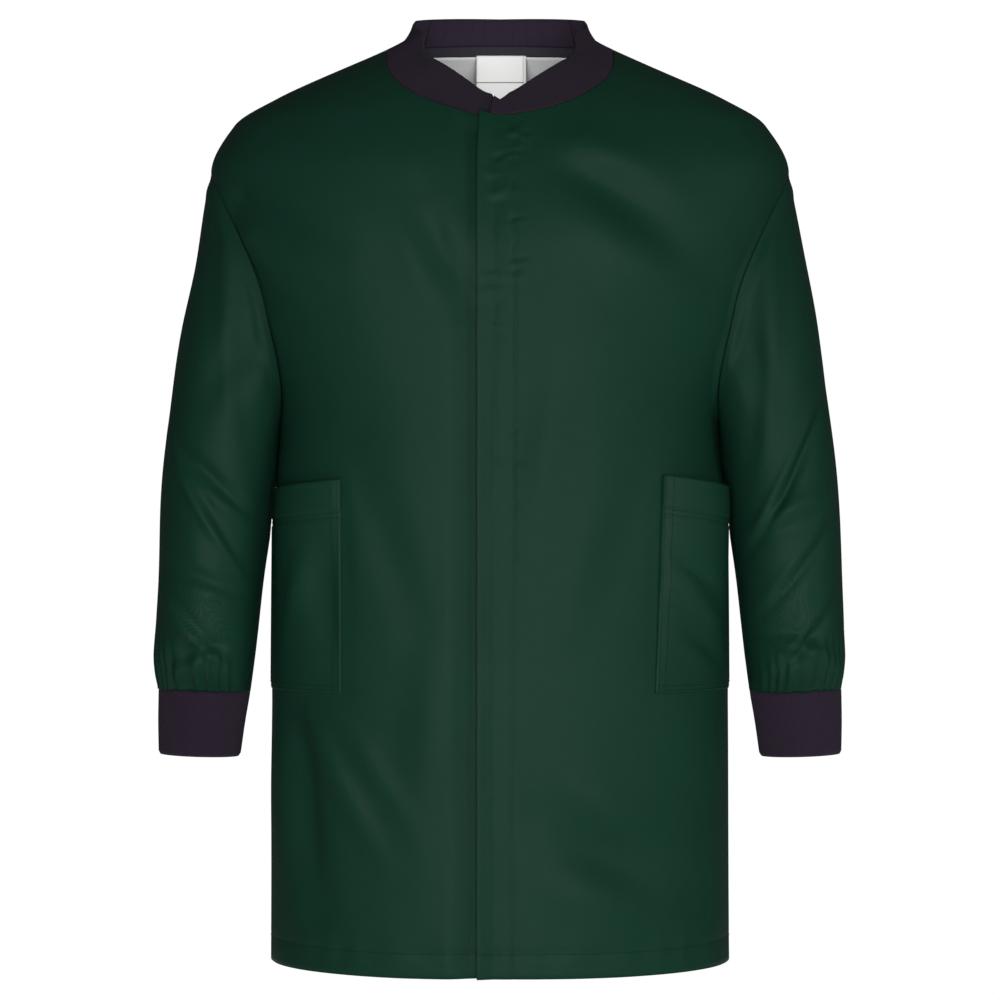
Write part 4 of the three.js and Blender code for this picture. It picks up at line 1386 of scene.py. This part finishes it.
# ---- Neck ---------------------------------------------------------------------------------------
@dataclass
class Neck:
    """The rib-knit neckband, the tape and lining inside it, and the labels."""

    end_lap: float = 0.0155
    stand: float = 0.1 * MM
    vee_bottom: float = -0.0455
    vee_slope: float = 0.706
    wall: float = 2.2 * MM
    press: float = 2.9 * MM
    rib_pitch: float = 1.9 * MM
    rib_height: float = 0.5 * MM
    swing_to: float = 1.5
    tape_low: float = -0.03
    tape_share: float = 0.27
    label_width: float = 0.037
    label_height: float = 0.048
    label_inset: float = 5.15 * MM
    label_step: float = 0.9 * MM
    tape_depth: float = 2.6 * MM + GAP
    lining_depth: float = 2.75 * MM
    hollow: float = -0.017

    def __post_init__(self) -> None:
        """Draws the band's sideways run, its lean and its rise, and measures its length."""
        self.run = SmoothCurve(
            (0, 0), (0.12, -0.029), (0.3, -0.032), (0.5, -0.029), (1, -0.025), (1.3, -0.014),
            (1.5, -0.008), (2, 0),
        )
        self.lean = SmoothCurve(
            (0, 0.007), (0.12, 0.009), (0.3, 0.012), (1, 0.008), (1.5, -0.004), (2, -0.007)
        )
        self.rise = SmoothCurve(
            (0, 0.012), (0.12, 0.018), (0.3, 0.021), (0.5, 0.018), (1, 0.020), (1.3, 0.0285),
            (1.5, 0.029), (2, 0.0275),
        )
        self.turns = np.linspace(-self.end_lap, 2, 400)
        self.along = distance_along(self.point(self.turns, np.full(self.turns.shape, 0.5)))
        self.hub = np.array([0.0, self.hollow, -0.04])
        swing = np.interp(self.swing_to, self.turns, self.along) / self.along[-1]
        self.swing_share = float(swing)

    def point(self, turn: Array, height: Array) -> Array:
        """A point of the band: turn is 0 at the centre front, 1 at the neck point and 2 behind."""
        t = np.abs(np.where(turn > 2, 4 - turn, turn))
        face = np.where(t < 1, -1.0, 1.0)
        angle = np.maximum(0.002, np.abs(1 - t) * RIGHT_ANGLE)
        z = np.where(face < 0, FORM.neck_z(angle, -1), FORM.neck_z(angle, 1))
        p = FORM.point(angle, z, face)
        straight = self.vee_bottom + self.vee_slope * (p[..., 0] + self.run(t)) - z
        rise = mix(straight, self.rise(t), ease((t - 0.35) / 0.30))
        lift = np.stack([self.run(t), self.lean(t), rise], axis=-1)
        up = height + self.stand / np.linalg.norm(lift, axis=-1)
        hollow = 1 - np.clip(1 - up, 0, 1) ** (1 + 0.7 * hump((t - 0.4) / 1.3))
        p = p + lift * np.stack([mix(up, hollow, ease(up / 0.05)), up, up], axis=-1)
        p[..., 0] *= np.where((turn < 0) | (turn > 2), -1.0, 1.0)
        return p

    def turn_at(self, u: Array) -> Array:
        """The turn at each share of one half's length, from its front end to the centre back."""
        return np.interp(u * self.along[-1], self.along, self.turns)

    def normal(self, bare: Surface, u: Array, v: Array, points: Array) -> Array:
        """Normals away from the middle of the neck, a little below each point."""
        zero = points[..., 0] * 0
        middle = np.stack([zero, zero + self.hollow, points[..., 2] - 0.02], axis=-1)
        return measured_normal(bare, u, v, middle)

    def band(self, side: Side) -> Surface:
        """The ribbed face of one half of the neckband, from its front end to the centre back."""
        ribs = round(self.along[-1] / self.rib_pitch)
        press = 0.0 if side is Side.LEFT else self.press

        def bare(a: Array, b: Array) -> Array:
            return self.point(self.turn_at(a), b)

        def surface(u: Array, v: Array) -> Array:
            p = bare(u, v)
            out = self.normal(bare, np.clip(u, 0.0, 0.999), v, p)
            fade = ease(v / 0.10) * ease((1 - v) / 0.06)
            rib = self.rib_height * rib_profile(math.pi * ribs * u) * fade * ease(u / 0.015)
            pressed = press * (1 - ease((self.turn_at(u) - 0.08) / 0.18))
            p = p + out * (rib - folded_edge(v, 14) - pressed)[..., None]
            p[..., 0] *= side.value
            return p

        return surface

    def behind(self, u: Array, v: Array) -> Array:
        """The ribbed face behind the neck, between the band's two front lengths."""
        p = self.band(Side.LEFT)(1 - np.abs(2 * u - 1) * (1 - self.swing_share), v)
        p[..., 0] *= np.where(u < 0.5, 1.0, -1.0)
        return p

    def tape(self, u: Array, v: Array) -> Array:
        """The tape that covers the neck seam inside the back."""
        def bare(a: Array, b: Array) -> Array:
            return self.point(mix(1.3, 2.7, a), mix(self.tape_low, self.tape_share, b))

        p = bare(u, v)
        return p - self.normal(bare, u, v, p) * self.tape_depth

    def lining(self, u: Array, v: Array) -> Array:
        """The pale half-moon inside the back neck."""
        across = 2 * u - 1
        x = across * 0.078
        top = FORM.neck_z(FORM.angle_at(x, x * 0), 1) + 0.9 * MM
        drop = 6 * MM + 0.096 * np.sqrt(np.clip(1 - across**2, 0, 1))
        z = top - drop * (1 - v)
        p = FORM.point(FORM.angle_at(x, z), z, 1)
        wave = 0.5 * MM * np.sin(x / 0.011 + z / 0.02) * hump(v) * hump(u)
        return p - FORM.normal(p) * (self.lining_depth + wave)[..., None]

    def label(self, shift: float, layer: int) -> Surface:
        """A label's front face: a gently bowed rectangle that hangs from the neck seam."""
        back = FORM.back_neck_depth - self.label_inset + layer * self.label_step

        def surface(u: Array, v: Array) -> Array:
            x = (u - 0.5) * self.label_width + shift
            z = FORM.back_neck_rise - 0.8 * MM - self.label_height * (1 - v)
            bow = 0.5 * MM * np.cos((u - 0.5) * 2.6) * hump((1 - v) * 0.9)
            return np.stack([x, back - bow, z], axis=-1)

        return surface

    def knit(
        self, name: str, node: str, surface: Surface, columns: int, steps: int
    ) -> tuple[bpy.types.Object, bpy.types.Object]:
        """Makes one length of the band and the stitching along its lower edge.

        Args:
            name: The start of both pieces' names.
            node: The frame node that the band stands for.
            surface: The band's face.
            columns: Cells along it.
            steps: Points along the stitching.

        Returns:
            The band and its stitching.
        """
        band = make_sheet(f"{name}_knit", columns, 18, surface, self.hub, self.wall)
        bm = bmesh.new()
        sew_on(bm, surface, np.linspace(0.002, 0.998, steps), 0.035, self.hub)
        thread = sewn_piece(f"{name}_stitches", bm, BAND_THREAD)
        finish(band, RIB, "rib_knit", node)
        return band, thread

    def make(self) -> None:
        """Makes the bands, tape, lining and labels."""
        for side in Side:
            whole = self.band(side)

            def surface(u: Array, v: Array) -> Array:
                return whole(u * self.swing_share, v)

            name = f"neckband_{side.word}"
            for piece in self.knit(name, f"{name}_end", surface, 720, 480):
                Front(side).swing(piece)
        behind = self.knit("neckband_back", "neckband_back", self.behind, 640, 420)
        tape = make_sheet("neck_tape_strip", 120, 8, self.tape, self.hub, 0.7 * MM)
        finish(tape, TAPE, "rib_knit", "neck_tape")
        inside = np.array([0.0, 0.0, -0.05])
        lining = make_sheet("neck_lining_cloth", 80, 50, self.lining, inside, 0.5 * MM)
        finish(lining, LINING, "lining", "back_neck_lining")
        bm = bmesh.new()
        sew_on(bm, self.tape, np.linspace(0.01, 0.99, 300), 0.25, self.hub, face=-1)
        for piece in (*behind, tape, lining, sewn_piece("neck_tape_stitches", bm)):
            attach(piece, "torso")
        nape = np.array([0.0, 0.3, -0.02])
        for name, look, shift, layer in (
            ("neck_label", LABEL, 0.0, 0), ("size_label", SIZE_LABEL, 2 * MM, 1),
        ):
            face = self.label(shift, layer)
            piece = make_sheet(f"{name}_cloth", 30, 40, face, nape, 0.35 * MM)
            finish(piece, look, "label", name)
            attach(piece, "neck_labels")
        LOG.info("neckband, tape, lining and labels")


# ---- Room, light and camera ---------------------------------------------------------------------
@dataclass
class Studio:
    """A plain pale room with soft light from the front."""

    eye: Triple = (0.0, -2.25, -0.344)
    lens: float = 105.2
    key_power: float = 22.5
    ambient: float = 0.08
    seen_white: float = 1.02

    def light(
        self, name: str, place: Triple, aim: Triple, size: float, power: float, glossy: bool = True
    ) -> None:
        """Adds a square soft light.

        Args:
            name: The light's name.
            place: Where it stands.
            aim: The point that it faces.
            size: Length of its sides.
            power: Its power in watts.
            glossy: False if the cloth shows no gloss from it.
        """
        data = bpy.data.lights.new(name, "AREA")
        data.shape, data.size, data.energy = "SQUARE", size, power
        lamp = bpy.data.objects.new(name, data)
        lamp.location = place
        lamp.visible_camera = False
        lamp.visible_glossy = glossy
        lamp.rotation_euler = (Vector(aim) - Vector(place)).to_track_quat("-Z", "Y").to_euler()
        bpy.context.scene.collection.objects.link(lamp)

    def floor(self) -> None:
        """Lays the pale floor."""
        bm = bmesh.new()
        bmesh.ops.create_grid(bm, x_segments=1, y_segments=1, size=1.35)
        bmesh.ops.translate(bm, verts=bm.verts, vec=(0, 0, -1.05))
        floor = make_object("studio_floor", bm)
        material = bpy.data.materials.new("pale_floor")
        material.use_nodes = True
        fill(material.node_tree.nodes["Principled BSDF"], {
            "Base Color": (0.86, 0.86, 0.86, 1), "Roughness": 0.8,
            "Emission Color": (1, 1, 1, 1), "Emission Strength": 0.10,
        })
        floor.data.materials.append(material)

    def world(self) -> None:
        """Makes the background white to the eye and dim to the cloth."""
        world = bpy.data.worlds.new("pale_room")
        world.use_nodes = True
        bpy.context.scene.world = world
        nodes = Nodes(world.node_tree)
        back = world.node_tree.nodes["Background"]
        fill(back, {"Color": (1, 1, 1, 1)})
        seen = nodes.add("ShaderNodeLightPath").outputs["Is Camera Ray"]
        rest = nodes.math("MULTIPLY", nodes.math("SUBTRACT", 1.0, seen), self.ambient)
        bright = nodes.math("MULTIPLY", seen, self.seen_white)
        nodes.join(nodes.math("ADD", bright, rest), back.inputs["Strength"])

    def make(self) -> None:
        """Sets the room, the lights and the camera."""
        self.floor()
        self.world()
        key = self.key_power
        self.light("front_softbox", (0.0, -1.9, -0.38), (0.0, 0.0, -0.38), 0.8, key)
        self.light("side_softbox", (1.7, -1.5, 0.1), (0.0, 0.0, -0.3), 0.8, key * 0.40)
        self.light("back_softbox", (0.0, 2.6, -0.35), (0.0, 0.0, -0.35), 1.0, key * 1.8, False)
        self.light("neck_fill", (0.0, -0.03, -0.03), (0.0, 0.05, -0.02), 0.05, 0.040)
        data = bpy.data.cameras.new("front_view")
        data.lens = self.lens
        camera = bpy.data.objects.new("front_view", data)
        camera.location = self.eye
        camera.rotation_euler = (RIGHT_ANGLE, 0, 0)
        bpy.context.scene.collection.objects.link(camera)
        bpy.context.scene.camera = camera
        bpy.context.scene.view_settings.view_transform = "Standard"
        LOG.info("studio")


def main() -> None:
    """Builds the room and the overall."""
    logging.basicConfig(level=logging.INFO, format="%(name)s: %(message)s")
    for group in (twill_group, knit_group, wear_group):
        group()
    Studio().make()
    Back().make()
    for side in Side:
        Front(side).make()
        Pocket(side).make()
        Sleeve(side).make()
    Neck().make()


if __name__ == "__main__":
    main()
